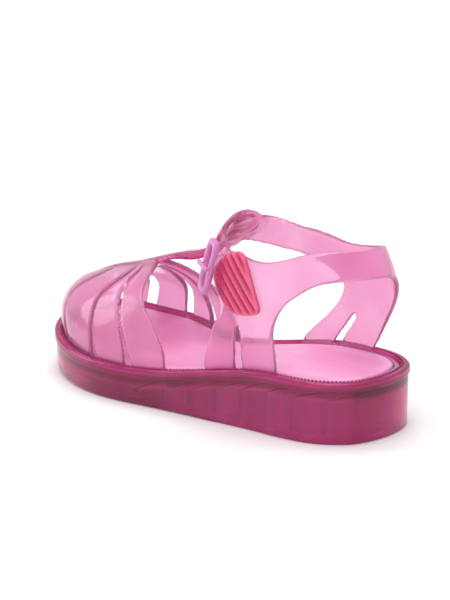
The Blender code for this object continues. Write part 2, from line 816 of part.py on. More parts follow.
def rear_loop(spacing):
    """Edge of the rear panel with the ring height put in for the zero rows."""
    rows = []
    for s, v in REAR_EDGE:
        t = abs(s)
        rows.append((s, v if v else (ring_height(t) + GAP * 2) / UPPER_H))
    loop = fitted_edge(rows, REAR_SHARP, spacing, lambda p: ankle(p[0], p[1]))
    return [(float(a), float(b)) for a, b in loop]


def make_rear(mats):
    """Legs, quarters, heel band and inner ankle band in one curved sheet."""
    return chart_panel("rear", rear_loop(PANEL_EDGE), ankle, ankle_away, 0.0, -SHELL_T,
                       PANEL_GRID, mats["upper_jelly"])


def make_upper(mats):
    upper = make_ring(mats)
    parts = make_bars(mats) + [make_spine(mats), make_head(mats), make_rear(mats),
                               make_strap(mats)]
    return combine(upper, parts, "UNION")


def make_tail(mats):
    loop = fitted_edge(TAIL_EDGE, (), TAIL_EDGE_STEP, lambda p: ankle(p[0], p[1]))
    loop = [(float(a), float(b)) for a, b in loop]

    def ribs(u, v):
        along = (u + 0.40) * 12 - (v - 0.60) * 0.9
        return TAIL_RIB * (0.5 + 0.5 * math.cos(2 * math.pi * along * 2.6))

    return chart_panel("strap_tail", loop, ankle, ankle_away, TAIL_OFF + TAIL_T, TAIL_OFF,
                       TAIL_GRID, mats["tail_coral"], lift=ribs)


def unit(v):
    v = np.asarray(v, float)
    return v / np.linalg.norm(v)


def make_buckle(mats):
    """Rounded frame on the strap and the prong across it."""
    run = unit(FRAME_RUN)
    up = np.asarray(FRAME_UP, float)
    up = unit(up - run * np.dot(run, up))
    out = np.cross(run, up)
    if out[0] < 0:
        out = -out
    at = placed(FRAME_AT) + out * (FRAME_BAR / 2 + FRAME_OFF)
    rings = []
    for k in range(28):
        a = 2 * math.pi * k / 28
        c, s = math.cos(a), math.sin(a)
        lx = abs(c) ** 0.55 * math.copysign(1, c)
        ly = abs(s) ** 0.55 * math.copysign(1, s)
        ring = []
        for da, dn in ((0.5, -0.4), (0.5, 0.3), (0.3, 0.5),
                       (-0.3, 0.5), (-0.5, 0.3), (-0.5, -0.4)):
            half_l = FRAME_L / 2 - FRAME_BAR / 2 + da * FRAME_BAR
            half_w = FRAME_W / 2 - FRAME_BAR / 2 + da * FRAME_BAR
            ring.append(at + up * (lx * half_l) + run * (ly * half_w) + out * (dn * FRAME_BAR))
        rings.append(ring)
    loft("buckle_frame", rings, mats["buckle_orchid"], closed=True)
    rings = []
    lift = FRAME_BAR * 0.5 + GAP + PRONG_D / 2
    for f, z in ((-0.52, 0.0), (-0.30, 0.0), (0.0, 0.05), (0.30, 0.0), (0.56, 0.0)):
        ring = []
        for k in range(8):
            a = 2 * math.pi * k / 8
            high = lift + (z + math.sin(a) / 2) * PRONG_D
            ring.append(at + run * (f * FRAME_W) + out * high + up * (math.cos(a) * PRONG_D / 2))
        rings.append(ring)
    loft("buckle_prong", rings, mats["buckle_orchid"])


def settle():
    """Put the middle of the whole shoe's box over the origin and its sole on the ground."""
    low = np.full(3, np.inf)
    high = np.full(3, -np.inf)
    for obj in bpy.data.objects:
        pts = np.array([v.co[:] for v in obj.data.vertices])
        low = np.minimum(low, pts.min(0))
        high = np.maximum(high, pts.max(0))
    move = Vector((-(low[0] + high[0]) / 2, -(low[1] + high[1]) / 2, -low[2]))
    for obj in bpy.data.objects:
        for v in obj.data.vertices:
            v.co += move


materials = make_materials()
make_platform(materials)
make_outsole(materials)
make_insole(materials)
make_upper(materials)
make_tail(materials)
make_buckle(materials)
settle()
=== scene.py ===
"""Looks of the moulded jelly sandal: clear pink upper, deep magenta platform, ribbed coral strap end.

The model's own frame: +X is the outer side of the foot, the toe points along -Y, Z is up.
A share t runs along the sole from the heel (0) to the toe tip (1).
"""
import math

import bmesh
import bpy
import numpy as np
from mathutils import Matrix, Vector
from mathutils.geometry import delaunay_2d_cdt


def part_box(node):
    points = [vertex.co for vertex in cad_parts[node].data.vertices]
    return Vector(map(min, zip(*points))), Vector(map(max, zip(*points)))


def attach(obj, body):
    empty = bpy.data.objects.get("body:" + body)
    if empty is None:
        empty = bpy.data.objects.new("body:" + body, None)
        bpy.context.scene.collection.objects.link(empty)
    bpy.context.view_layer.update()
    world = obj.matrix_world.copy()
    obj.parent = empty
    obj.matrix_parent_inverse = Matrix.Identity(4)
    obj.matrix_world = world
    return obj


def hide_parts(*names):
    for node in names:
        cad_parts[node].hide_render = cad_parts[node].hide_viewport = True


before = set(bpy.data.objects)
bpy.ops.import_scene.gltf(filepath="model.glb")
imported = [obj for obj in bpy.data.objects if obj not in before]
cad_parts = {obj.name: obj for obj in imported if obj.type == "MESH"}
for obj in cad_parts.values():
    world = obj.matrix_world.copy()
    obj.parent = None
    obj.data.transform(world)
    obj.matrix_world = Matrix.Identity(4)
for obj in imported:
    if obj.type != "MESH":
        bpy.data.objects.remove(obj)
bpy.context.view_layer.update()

# Main sizes in metres.
LENGTH = 0.180
BALL_W = 0.0809
UPPER_H = 0.081
HEEL_H = 0.0259
FORE_H = 0.0155
TOE_SPRING = 0.0043

# A pair named _RISE or _FALL holds where a smooth step starts and how long it runs.
SPRING_FROM = 0.74
RIM_FALL = (0.20, 0.43)
TREAD_RISE = (0.40, 0.05)

# Sole sizes.
RIM_W = 0.0036
RIM_ROUND = 0.0012
LIP_H = 0.0038
LIP_GROOVE = 0.0006
FOOT_INSET = 0.0011
FOOT_ROUND = 0.0009
TREAD_STEP = 0.0008
WALL = 0.0042
WALL_LEAN_H = 0.012
FLOOR_DROP = 0.0036
PLATE_T = 0.0050
RIB_T = 0.0018
RIB_FIRST = 0.09
RIB_LAST = 0.60
RIB_STEP = 0.072
OUTSOLE_T = 0.0030
TREAD_D = 0.0013
GAP = 0.0003
PEG_TOP_R = 0.0021
PEG_LOW_R = 0.0012
PEG_STEP = 0.0085
PEG_LAST = 0.62

# Upper and insole sizes.
SHELL_T = 0.0020
RING_W = 0.0025
RING_TOP = 0.0010
INSOLE_T = 0.0029
INSOLE_DISH = 0.0005
INSOLE_ROLL = 0.0050
SKIRT = 0.0028
TOE_BULGE = 0.0068
BULGE_RISE = (0.60, 0.35)
CAGE_STEEP = 0.62
CAGE_REACH = 0.5
SPINE_W = 0.0072
SPINE_UP = 0.0005
SPINE_BACK = 0.0009
SPINE_WIDER = 0.25
SPINE_WIDER_RISE = (0.50, 0.36)
SPINE_DEEP = 0.0012
SPINE_DEEP_FALL = (0.58, 0.08)
SPINE_DEEP_RISE = (0.450, 0.025)
STRAP_W = 0.0124
STRAP_SINK = 0.0009
STRAP_BLEND_ROWS = 9
HEAD_L = 0.0155
HEAD_W = 0.0300
HEAD_T = 0.0026
HEAD_SLOT_L = 0.0150
HEAD_SLOT_W = 0.0034
HEAD_TILT = math.radians(60)
HEAD_SAG = 0.0030
HEAD_DROOP = 0.8

# Strap end, dots and buckle sizes.
TAIL_T = 0.0020
TAIL_OFF = 0.0005
TAIL_RIB = 0.0012
TAIL_RIB_STEP = 0.0205
TAIL_RIB_SLANT = 0.36
TAIL_BORDER = 0.0016
TAIL_RIB_SHARP = 1.3
DOT_STEP = 0.0016
DOT_R = 0.00050
FRAME_L = 0.0235
FRAME_W = 0.0136
FRAME_BAR = 0.0030
FRAME_OFF = 0.0018
FRAME_SQUARE = 0.55
FRAME_BACK = 0.4
BAR_SQUARE = 0.8
PRONG_D = 0.0020

# Fineness of the meshes.
FINE_N = 1440
OUTLINE_N = 260
RIM_STEPS = 5
ROLL_STEPS = 8
BAR_LEVELS = 22
BAR_TOP = 0.96
BAR_ACROSS = 8
SPINE_STEPS = 80
STRAP_STEPS = 90
HEAD_AROUND = 96
SLOT_AROUND = 40
FRAME_AROUND = 96
FRAME_SIDES = 20
PRONG_SIDES = 24
PEG_SIDES = 12
RIB_POINTS = 5
PANEL_EDGE = 0.0016
PANEL_GRID = 0.0026
TAIL_EDGE_STEP = 0.0007
TAIL_GRID = 0.00062
EDGE_CLEAR = 0.30
VOXEL = 0.00062
SOFTEN = 7
WELD = 0.00001
CHART_WELD = 1e-7

# Where the painted shade goes: how strong it is, and where it starts and stops.
HEAD_SHADE = 0.50
CREST_SHADE = 0.35
SPINE_FROM = 0.45
CREST_FALL = (0.62, 0.08)
SPINE_FALL = (0.86, 0.06)
BAND_RISE = (0.0014, 0.0026)
BAND_FALL = (0.0054, 0.0028)
SOLID_SHADE = 0.55
SOLID_RISE = (0.40, 0.16)
SOLID_FALL = (0.72, 0.14)
WALL_SHADE = 0.30
WALL_RISE = (FOOT_ROUND, 0.008)
WALL_FALL = (0.80, 0.10)
# Painted shadow of the buckle frame over the strap end's front part.
TAIL_SHADOW_FALL = (-0.352, 0.030)
TAIL_SIDE_SHADE = 0.5

# Tints that multiply a colour, all painted shade: wall under the lip, thick parts of the upper, rib
# grooves.
LIP_SHADE_TINT = (0.34, 0.16, 0.24)
THICK_SHADE_TINT = (0.64, 0.10, 0.36)
TAIL_SHADE_TINT = (0.50, 0.10, 0.34)

# Plastic: waves per metre of its flow marks, which on the insole are painted sheen streaks, and of its
# gloss, and the height of its ripples.
JELLY_IOR = 1.47
FLOW_AND_SHEEN_WAVE = 55.0
GLOSS_WAVE = 160.0
RIPPLE_H = 0.0004

# Depths below the rim at which the wall has a row of points for its painted shade.
BAND_ROWS = (0.0084, 0.0076, 0.0068, 0.0060, 0.0052, 0.0044)

# Sole edge. t, outer half width and inner half width in shares of the ball width.
SOLE_EDGE = (
    (0.000, 0.000, 0.000),
    (0.012, 0.166, 0.158),
    (0.040, 0.269, 0.257),
    (0.100, 0.357, 0.332),
    (0.180, 0.390, 0.348),
    (0.300, 0.398, 0.334),
    (0.420, 0.422, 0.308),
    (0.540, 0.447, 0.340),
    (0.640, 0.472, 0.434),
    (0.720, 0.470, 0.503),
    (0.800, 0.425, 0.527),
    (0.880, 0.334, 0.491),
    (0.940, 0.215, 0.442),
    (0.980, 0.069, 0.338),
    (1.000, -0.120, 0.120),
)

# Line over the instep. t, side offset in shares of the ball width, height in shares of the upper.
CREST = (
    (0.452, 0.000, 0.900),
    (0.475, 0.000, 0.838),
    (0.515, 0.000, 0.786),
    (0.563, -0.010, 0.740),
    (0.622, -0.022, 0.704),
    (0.688, -0.032, 0.655),
    (0.764, -0.040, 0.595),
    (0.835, -0.050, 0.548),
    (0.890, -0.062, 0.498),
    (0.943, -0.080, 0.424),
)

# Where a cage line that starts at share q of the half edge, heel to toe tip, meets the crest.
CAGE_TOP = (
    (0.410, 0.660),
    (0.525, 0.715),
    (0.627, 0.755),
    (0.718, 0.800),
    (0.791, 0.845),
    (0.886, 0.885),
    (1.000, 0.930),
)

# Cage slits. h up the bar, then q of the slit centres, then half width in shares of the length.
SLITS_OUT = (
    (0.00, 0.505, 0.593, 0.684, 0.801, 0.900, 0.0089),
    (0.10, 0.508, 0.600, 0.692, 0.812, 0.907, 0.0061),
    (0.30, 0.535, 0.621, 0.706, 0.836, 0.922, 0.0039),
    (0.48, 0.564, 0.635, 0.711, 0.843, 0.926, 0.0044),
    (0.62, 0.569, 0.636, 0.693, 0.823, 0.916, 0.0067),
    (0.76, 0.554, 0.624, 0.663, 0.788, 0.898, 0.0078),
    (0.90, 0.528, 0.595, 0.637, 0.754, 0.880, 0.0044),
    (1.00, 0.514, 0.576, 0.624, 0.740, 0.870, 0.0022),
)
SLITS_IN = (
    (0.00, 0.536, 0.643, 0.742, 0.842, 0.920, 0.0111),
    (0.10, 0.541, 0.646, 0.741, 0.840, 0.921, 0.0122),
    (0.30, 0.555, 0.655, 0.725, 0.829, 0.918, 0.0117),
    (0.48, 0.574, 0.660, 0.723, 0.827, 0.916, 0.0089),
    (0.62, 0.576, 0.655, 0.711, 0.818, 0.908, 0.0072),
    (0.76, 0.560, 0.638, 0.686, 0.799, 0.898, 0.0067),
    (0.90, 0.532, 0.606, 0.655, 0.770, 0.886, 0.0044),
    (1.00, 0.518, 0.584, 0.638, 0.759, 0.878, 0.0022),
)
SPINE_COVER = 0.007

# Heel and ankle shape. s runs from the outer side (-) round the heel (0) to the inner side (+).
# Side offset in shares of the ball width and t, at mid height and at the top line.
ANKLE = (
    (-0.50, 0.334, 0.500, 0.247, 0.500),
    (-0.40, 0.371, 0.400, 0.321, 0.400),
    (-0.30, 0.365, 0.300, 0.328, 0.300),
    (-0.20, 0.328, 0.200, 0.290, 0.200),
    (-0.12, 0.266, 0.110, 0.222, 0.132),
    (-0.05, 0.155, 0.030, 0.117, 0.078),
    (0.00, -0.012, 0.003, -0.012, 0.064),
    (0.05, -0.173, 0.030, -0.136, 0.078),
    (0.12, -0.260, 0.110, -0.216, 0.132),
    (0.20, -0.297, 0.200, -0.253, 0.200),
    (0.30, -0.309, 0.300, -0.272, 0.300),
    (0.40, -0.298, 0.400, -0.247, 0.400),
    (0.50, -0.180, 0.500, -0.100, 0.500),
)
Z_MID, Z_TOP = 0.617, 0.951
# Foot of that shape: side offset at the heel's tip, and the least t beside it.
HEEL_TIP_X = -0.004
HEEL_LEAST_T = 0.042

# Edge of the rear panel: s and height in shares of the upper; 0 stands for the sole's ring.
REAR_EDGE = (
    (-0.416, 0.000), (-0.402, 0.390), (-0.382, 0.506), (-0.365, 0.581), (-0.368, 0.640),
    (-0.383, 0.701), (-0.389, 0.765), (-0.384, 0.850), (-0.352, 0.896), (-0.304, 0.884),
    (-0.262, 0.868), (-0.216, 0.885), (-0.151, 0.932), (-0.090, 0.952), (-0.040, 0.950),
    (0.000, 0.946), (0.040, 0.936), (0.090, 0.912), (0.150, 0.882), (0.220, 0.864),
    (0.299, 0.886), (0.359, 0.895), (0.415, 0.905), (0.415, 0.758), (0.367, 0.744),
    (0.300, 0.715), (0.250, 0.655), (0.242, 0.594), (0.274, 0.485), (0.341, 0.330),
    (0.352, 0.000), (0.268, 0.000), (0.262, 0.330), (0.214, 0.480), (0.205, 0.490),
    (0.202, 0.478), (0.243, 0.330), (0.250, 0.000), (0.160, 0.000), (0.152, 0.330),
    (0.122, 0.460), (0.092, 0.590), (0.068, 0.690), (0.045, 0.755), (0.019, 0.800),
    (-0.026, 0.815), (-0.075, 0.810), (-0.132, 0.778), (-0.175, 0.710), (-0.197, 0.660),
    (-0.215, 0.578), (-0.220, 0.500), (-0.214, 0.390), (-0.211, 0.000), (-0.307, 0.000),
    (-0.308, 0.390), (-0.310, 0.518), (-0.315, 0.524), (-0.320, 0.518), (-0.326, 0.390),
    (-0.330, 0.000),
)
# Corners of that edge that stay sharp, by their place in the list.
REAR_SHARP = (0, 22, 23, 30, 31, 37, 38, 53, 54, 60)

# Edge of the ribbed strap end on the outer panel.
TAIL_EDGE = (
    (-0.372, 0.790), (-0.356, 0.850), (-0.326, 0.898), (-0.302, 0.896), (-0.286, 0.840),
    (-0.258, 0.690), (-0.250, 0.632), (-0.262, 0.602), (-0.312, 0.594), (-0.336, 0.625),
    (-0.362, 0.710),
)

# Ankle strap. Side offset in shares of the ball width, t and height in shares of the upper,
# then the direction of its width.
STRAP_PATH = (
    (-0.2868, 0.3806, 0.8247, 0.00, 0.05, 1.00),
    (-0.2563, 0.4219, 0.8420, 0.00, 0.10, 1.00),
    (-0.1861, 0.4421, 0.8691, 0.00, 0.28, 0.96),
    (-0.0841, 0.4461, 0.8975, 0.00, 0.45, 0.89),
    (0.0210, 0.4434, 0.9136, 0.00, 0.50, 0.87),
    (0.1277, 0.4494, 0.9037, -0.10, 0.42, 0.90),
    (0.1959, 0.4369, 0.8568, -0.18, 0.30, 0.93),
    (0.2394, 0.4123, 0.7901, -0.18, 0.24, 0.95),
    (0.2967, 0.3922, 0.7481, -0.10, 0.12, 1.00),
    (0.3498, 0.3694, 0.7346, -0.03, 0.05, 1.00),
)
FRAME_AT = (0.2469, 0.4201, 0.7561)
FRAME_UP = (-0.145, 0.195, 0.958)
FRAME_RUN = (0.60, 0.80, 0.0)
HEAD_AT = (0.0200, 0.4489, 0.9213)

# Rows of the spine up the toe, by h of the cage, and then along the crest, by t.
SPINE_TOE = (-1.0, 0.0, 0.25, 0.5, 0.75, 1.0)
SPINE_CREST = (0.890, 0.835, 0.764, 0.688, 0.622, 0.563, 0.515, 0.475, 0.452)

# Section of the insole's edge: inset and height in shares of its thickness.
INSOLE_ROWS = ((0.0, 0.0), (0.0, 0.75), (0.12, 0.93), (0.4, 1.0))

# Section of the head plate, from the middle of its back to the middle of its front:
# size in shares of the plate, height in shares of its thickness.
HEAD_ROWS = (
    (0.0, -0.5), (0.5, -0.5), (0.92, -0.5), (0.98, -0.35), (1.0, -0.1), (1.0, 0.25),
    (0.975, 0.42), (0.93, 0.5), (0.86, 0.5), (0.82, 0.38), (0.78, 0.16), (0.5, 0.16),
    (0.0, 0.16),
)

# Prong from its pivot to its tip: place in shares of the frame's width, share of its thickness.
PRONG_ROWS = (
    (-0.52, 0.35), (-0.515, 0.7), (-0.49, 0.94), (-0.44, 1.0), (-0.2, 1.0),
    (0.1, 0.97), (0.4, 0.92), (0.50, 0.85), (0.545, 0.6), (0.56, 0.25),
)

# Places inside the foot that outer faces turn away from. For the strap, a point in shares; for
# the cage, the crest's t, a share of the face's own y and the rim's t; for the heel, the least t.
STRAP_MIDDLE = (0.0, 0.25, 0.74)
CAGE_MIDDLE = (0.8, 0.8, 0.7)
HEEL_MIDDLE = 0.14


def between(a, b, c, d, f):
    """Point at share f from b to c on the smooth curve through a, b, c and d."""
    return 0.5 * (2 * b + (c - a) * f + (2 * a - 5 * b + 4 * c - d) * f**2
                  + (3 * b - a - 3 * c + d) * f**3)


def cubic_closed(points, count):
    """Even points on a smooth closed curve through the given points."""
    pts = np.asarray(points, float)
    n = len(pts)
    u = np.linspace(0, n, count, endpoint=False)
    i = np.floor(u).astype(int) % n
    f = (u - np.floor(u))[:, None]
    return between(*[pts[(i + k) % n] for k in (-1, 0, 1, 2)], f)


SLOPES = {}


def look_up(rows, x):
    """Smooth values of a table at x; the first column is the key."""
    if id(rows) not in SLOPES:
        tab = np.asarray(rows, float)
        SLOPES[id(rows)] = (rows, tab, np.gradient(tab[:, 1:], tab[:, 0], axis=0))
    _, tab, slope = SLOPES[id(rows)]
    keys = tab[:, 0]
    x = float(min(max(x, keys[0]), keys[-1]))
    k = int(min(max(np.searchsorted(keys, x, side="right") - 1, 0), len(keys) - 2))
    h = keys[k + 1] - keys[k]
    f = (x - keys[k]) / h
    return (tab[k, 1:] * (2 * f**3 - 3 * f * f + 1) + slope[k] * h * (f**3 - 2 * f * f + f)
            + tab[k + 1, 1:] * (3 * f * f - 2 * f**3) + slope[k + 1] * h * (f**3 - f * f))


def smooth(x):
    """Smooth rise from 0 to 1, of a number or an array."""
    x = np.clip(x, 0, 1)
    return x * x * (3 - 2 * x)


def rising(x, step):
    """Smooth rise from 0 to 1 over a step's start and run."""
    start, run = step
    return smooth((x - start) / run)


def falling(x, step):
    """Smooth fall from 1 to 0 over a step's start and run."""
    return 1 - rising(x, step)


def spring(t):
    """Lift of the sole towards the toe."""
    return TOE_SPRING * np.clip((t - SPRING_FROM) / (1 - SPRING_FROM), 0, 1) ** 2


def rim(t):
    """Height of the sole's rim."""
    w = rising(t, RIM_FALL)
    return HEEL_H * (1 - w) + FORE_H * w + spring(t)


def foot_edge(t):
    """Height of the side wall's lower edge: a small step behind the forefoot tread."""
    return spring(t) + TREAD_STEP * rising(t, TREAD_RISE)


def evenly(line, count=None, spacing=None):
    """Even points round a closed line, by their number or by their spacing."""
    closed = np.vstack([line, line[:1]])
    run = np.concatenate([[0], np.cumsum(np.linalg.norm(np.diff(closed, axis=0), axis=1))])
    at = np.linspace(0, run[-1], count or int(run[-1] / spacing), endpoint=False)
    return np.c_[np.interp(at, run, closed[:, 0]), np.interp(at, run, closed[:, 1])]


def sole_outline(count):
    """Even points round the sole's edge, from the heel along the outer side."""
    outer = [(w * BALL_W, LENGTH * (0.5 - t)) for t, w, _ in SOLE_EDGE]
    inner = [(-w * BALL_W, LENGTH * (0.5 - t)) for t, _, w in SOLE_EDGE]
    return evenly(cubic_closed(outer + inner[::-1][1:-1], FINE_N), count)


FINE = sole_outline(FINE_N)
# The frame's origin is under the middle of the whole shoe's box.
SHIFT = np.array([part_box("platform")[0][0] - FINE[:, 0].min(), 0.0, 0.0])


def drawn_in(points, d):
    """The closed outline moved inwards by d."""
    along = np.roll(points, -1, 0) - np.roll(points, 1, 0)
    along /= np.linalg.norm(along, axis=1)[:, None]
    return points + np.c_[along[:, 1], -along[:, 0]] * d


def share(y):
    """Share of the length at a place along the foot."""
    return 0.5 - y / LENGTH


def placed(shares):
    """Point from its side offset, its share of the length and its height, all in shares."""
    x, t, z = shares
    return np.array([x * BALL_W, LENGTH * (0.5 - t), z * UPPER_H])


UPPER_IN = RIM_W + GAP


def half_line(side, d):
    """One side of the drawn-in outline from heel to toe tip, with its running share."""
    line = drawn_in(FINE, d)
    tip = int(np.argmin(line[:, 1]))
    heel = int(np.argmax(line[:, 1]))
    n = len(line)
    if side > 0:
        half = line[np.arange(heel, heel + (tip - heel) % n + 1) % n]
    else:
        half = line[np.arange(tip, tip + (heel - tip) % n + 1)[::-1] % n]
    step = np.linalg.norm(np.diff(half, axis=0), axis=1)
    run = np.concatenate([[0], np.cumsum(step)])
    return half, run


SIDE_LINES = {}
CAGE_LINES = {1: half_line(1, UPPER_IN), -1: half_line(-1, UPPER_IN)}


def side_point(side, t, d):
    """Point of the outline drawn in by d, at share t on one side of the foot."""
    if d not in SIDE_LINES:
        SIDE_LINES[d] = {1: half_line(1, d), -1: half_line(-1, d)}
    half = SIDE_LINES[d][side][0]
    ts = share(half[:, 1])
    t = min(max(t, ts[0]), ts[-1])
    return float(np.interp(t, ts, half[:, 0])), float(np.interp(t, ts, half[:, 1]))


def cage_foot(side, q):
    """Foot of a cage line at share q of the half edge."""
    half, run = CAGE_LINES[side]
    at = min(max(q, 0.0), 1.0) * run[-1]
    return float(np.interp(at, run, half[:, 0])), float(np.interp(at, run, half[:, 1]))


def crest(t):
    """Point of the line over the instep."""
    x, z = look_up(CREST, t)
    return placed((x, t, z))


def cage(side, q, h):
    """The forefoot's surface; h from the rim (0) to the crest (1), below 0 down the skirt."""
    x, y = cage_foot(side, q)
    foot = np.array([x, y, rim(share(y)) + GAP])
    if h < 0:
        return foot + np.array([0, 0, h * SKIRT])
    top = crest(look_up(CAGE_TOP, q)[0])
    out = foot - top
    out[2] = 0
    far = np.linalg.norm(out)
    push = TOE_BULGE * rising(q, BULGE_RISE)
    a = foot + np.array([0, 0, CAGE_STEEP * (top[2] - foot[2])]) + out / far * push
    b = top + out * CAGE_REACH
    return ((1 - h) ** 3 * foot + 3 * (1 - h) ** 2 * h * a
            + 3 * (1 - h) * h * h * b + h ** 3 * top)


def ankle_rows():
    """The heel's shape with its foot on the sole's ring added to every row."""
    rows = []
    d = UPPER_IN + GAP
    for s, xm, tm, xt, tt in ANKLE:
        side = math.copysign(1, -s)
        if s == 0:
            low = (HEEL_TIP_X, d / LENGTH)
        else:
            t = max(abs(s), HEEL_LEAST_T)
            low = (side_point(side, t, d)[0] / BALL_W, t)
        rows.append((s, low[0], low[1], xm, tm, xt, tt))
    return rows


ANKLE_ROWS = ankle_rows()


def ankle(s, v):
    """The heel's surface; v is the height in shares of the upper's height."""
    row = look_up(ANKLE_ROWS, s)
    foot = float(rim(row[1]) + GAP) / UPPER_H
    height = v
    v = max(v, foot)
    a = (v - Z_MID) * (v - Z_TOP) / ((foot - Z_MID) * (foot - Z_TOP))
    b = (v - foot) * (v - Z_TOP) / ((Z_MID - foot) * (Z_MID - Z_TOP))
    c = (v - foot) * (v - Z_MID) / ((Z_TOP - foot) * (Z_TOP - Z_MID))
    x = row[0] * a + row[2] * b + row[4] * c
    t = row[1] * a + row[3] * b + row[5] * c
    return placed((x, t, height))


def normal_of(surface, u, v, away):
    """Unit normal of a surface, turned away from a point inside the foot."""
    du, dv = 0.004, 0.01
    a = surface(u + du, v) - surface(u - du, v)
    b = surface(u, v + dv) - surface(u, v - dv)
    n = np.cross(a, b)
    n /= np.linalg.norm(n)
    if np.dot(n, surface(u, v) - away) < 0:
        n = -n
    return n


def linked(name, data):
    """A new object in the scene that shows a mesh, a light or a camera."""
    obj = bpy.data.objects.new(name, data)
    bpy.context.scene.collection.objects.link(obj)
    return obj


def from_bmesh(name, bm):
    """A new object with the faces of bm, which is used up."""
    mesh = bpy.data.meshes.new(name)
    bm.to_mesh(mesh)
    bm.free()
    return linked(name, mesh)


def new_object(name, verts, faces):
    """A new object with the given points and faces, turned outwards."""
    mesh = bpy.data.meshes.new(name)
    mesh.from_pydata([tuple(map(float, v)) for v in verts], [], faces)
    mesh.update()
    obj = linked(name, mesh)
    face_out(obj)
    return obj


def face_out(obj):
    """Weld double points and turn every face outwards."""
    bm = bmesh.new()
    bm.from_mesh(obj.data)
    bmesh.ops.remove_doubles(bm, verts=bm.verts, dist=WELD)
    bmesh.ops.recalc_face_normals(bm, faces=bm.faces)
    if bm.calc_volume(signed=True) < 0:
        bmesh.ops.reverse_faces(bm, faces=bm.faces)
    bm.to_mesh(obj.data)
    bm.free()


def evaluated(obj):
    """The object's mesh with its modifiers used up."""
    bpy.context.view_layer.update()
    graph = bpy.context.evaluated_depsgraph_get()
    mesh = bpy.data.meshes.new_from_object(obj.evaluated_get(graph))
    obj.modifiers.clear()
    obj.data = mesh
    return obj


def combine(obj, other, operation):
    """Exact Boolean of an object with another, which is used up."""
    mod = obj.modifiers.new("combine", "BOOLEAN")
    mod.operation = operation
    mod.solver = "EXACT"
    mod.object = other
    evaluated(obj)
    bpy.data.objects.remove(other, do_unlink=True)
    return obj


def joined(name, parts):
    """One object with the meshes of all parts, which are used up."""
    bm = bmesh.new()
    for part in parts:
        bm.from_mesh(part.data)
    obj = from_bmesh(name, bm)
    for part in parts:
        bpy.data.objects.remove(part, do_unlink=True)
    return obj


def all_smooth(obj):
    obj.data.polygons.foreach_set("use_smooth", [True] * len(obj.data.polygons))


def soft_edges(obj, degrees=38):
    """Smooth shading with sharp edges where faces meet steeply."""
    all_smooth(obj)
    obj.data.set_sharp_from_angle(angle=math.radians(degrees))


def mark(obj, name, value):
    """Write a number from 0 to 1 at every vertex, worked out from the vertices' own places."""
    places = np.empty(len(obj.data.vertices) * 3)
    obj.data.vertices.foreach_get("co", places)
    layer = obj.data.attributes.new(name, "FLOAT", "POINT")
    layer.data.foreach_set("value", value(places.reshape(-1, 3)).astype(np.float32))


def dress(obj, material, slot, *nodes):
    """Place a finished piece on the body, with its material and the nodes that it stands for."""
    obj.data.transform(Matrix.Translation(Vector(SHIFT)))
    obj.data.materials.clear()
    obj.data.materials.append(material)
    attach(obj, "root")
    if nodes:
        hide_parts(*nodes)
    return obj


def skin(rings, spans):
    """Points of the rings and the faces between each ring and the next one."""
    n = len(rings[0])
    verts = [p for ring in rings for p in ring]
    faces = []
    for k in range(spans):
        a = k * n
        b = ((k + 1) % len(rings)) * n
        for i in range(n):
            j = (i + 1) % n
            faces.append((a + i, a + j, b + j, b + i))
    return verts, faces


def loft(name, rings, closed=False):
    """Skin rings of equal length; the ends are capped unless the rings close on themselves."""
    verts, faces = skin(rings, len(rings) if closed else len(rings) - 1)
    if not closed:
        n = len(rings[0])
        faces.append(tuple(range(n))[::-1])
        faces.append(tuple(range(len(verts) - n, len(verts))))
    return new_object(name, verts, faces)


def sole_ring(base, d, height):
    """Outline drawn in by d, with the height as a function of t."""
    return [(x, y, float(height(share(y)))) for x, y in drawn_in(base, d)]


def cap(ring, faces, offset):
    """Triangles that fill a ring seen from above."""
    flat = [Vector((p[0], p[1])) for p in ring]
    n = len(flat)
    edges = [(i, (i + 1) % n) for i in range(n)]
    done = delaunay_2d_cdt(flat, edges, [], 1, CHART_WELD)
    for tri in done[2]:
        faces.append(tuple(offset + done[3][v][0] for v in tri))


def capped_loft(name, rings):
    """Skin flat-ish rings of the sole and fill the first and the last one."""
    verts, faces = skin(rings, len(rings) - 1)
    cap(rings[0], faces, 0)
    cap(rings[-1], faces, len(verts) - len(rings[-1]))
    return new_object(name, verts, faces)


def fitted_edge(points, sharp, spacing, place):
    """Smooth a chart edge through its points, keep sharp corners and space it evenly."""
    n = len(points)
    pts = np.asarray(points, float)
    out = []
    for i in range(n):
        b, c = pts[i], pts[(i + 1) % n]
        a = pts[i - 1] if i not in sharp else 2 * b - c
        d = pts[(i + 2) % n] if (i + 1) % n not in sharp else 2 * c - b
        gap = np.linalg.norm(place(c) - place(b))
        steps = max(1, int(round(gap / spacing)))
        out += [between(a, b, c, d, k / steps) for k in range(steps)]
    return [(float(a), float(b)) for a, b in out]


def inside(points, loop):
    """Which chart points lie inside a closed loop."""
    x, y = points[:, 0], points[:, 1]
    hit = np.zeros(len(points), bool)
    for (x0, y0), (x1, y1) in zip(loop, loop[1:] + loop[:1]):
        if y0 == y1:
            continue
        crosses = (y0 > y) != (y1 > y)
        hit ^= crosses & (x < (x1 - x0) * (y - y0) / (y1 - y0) + x0)
    return hit


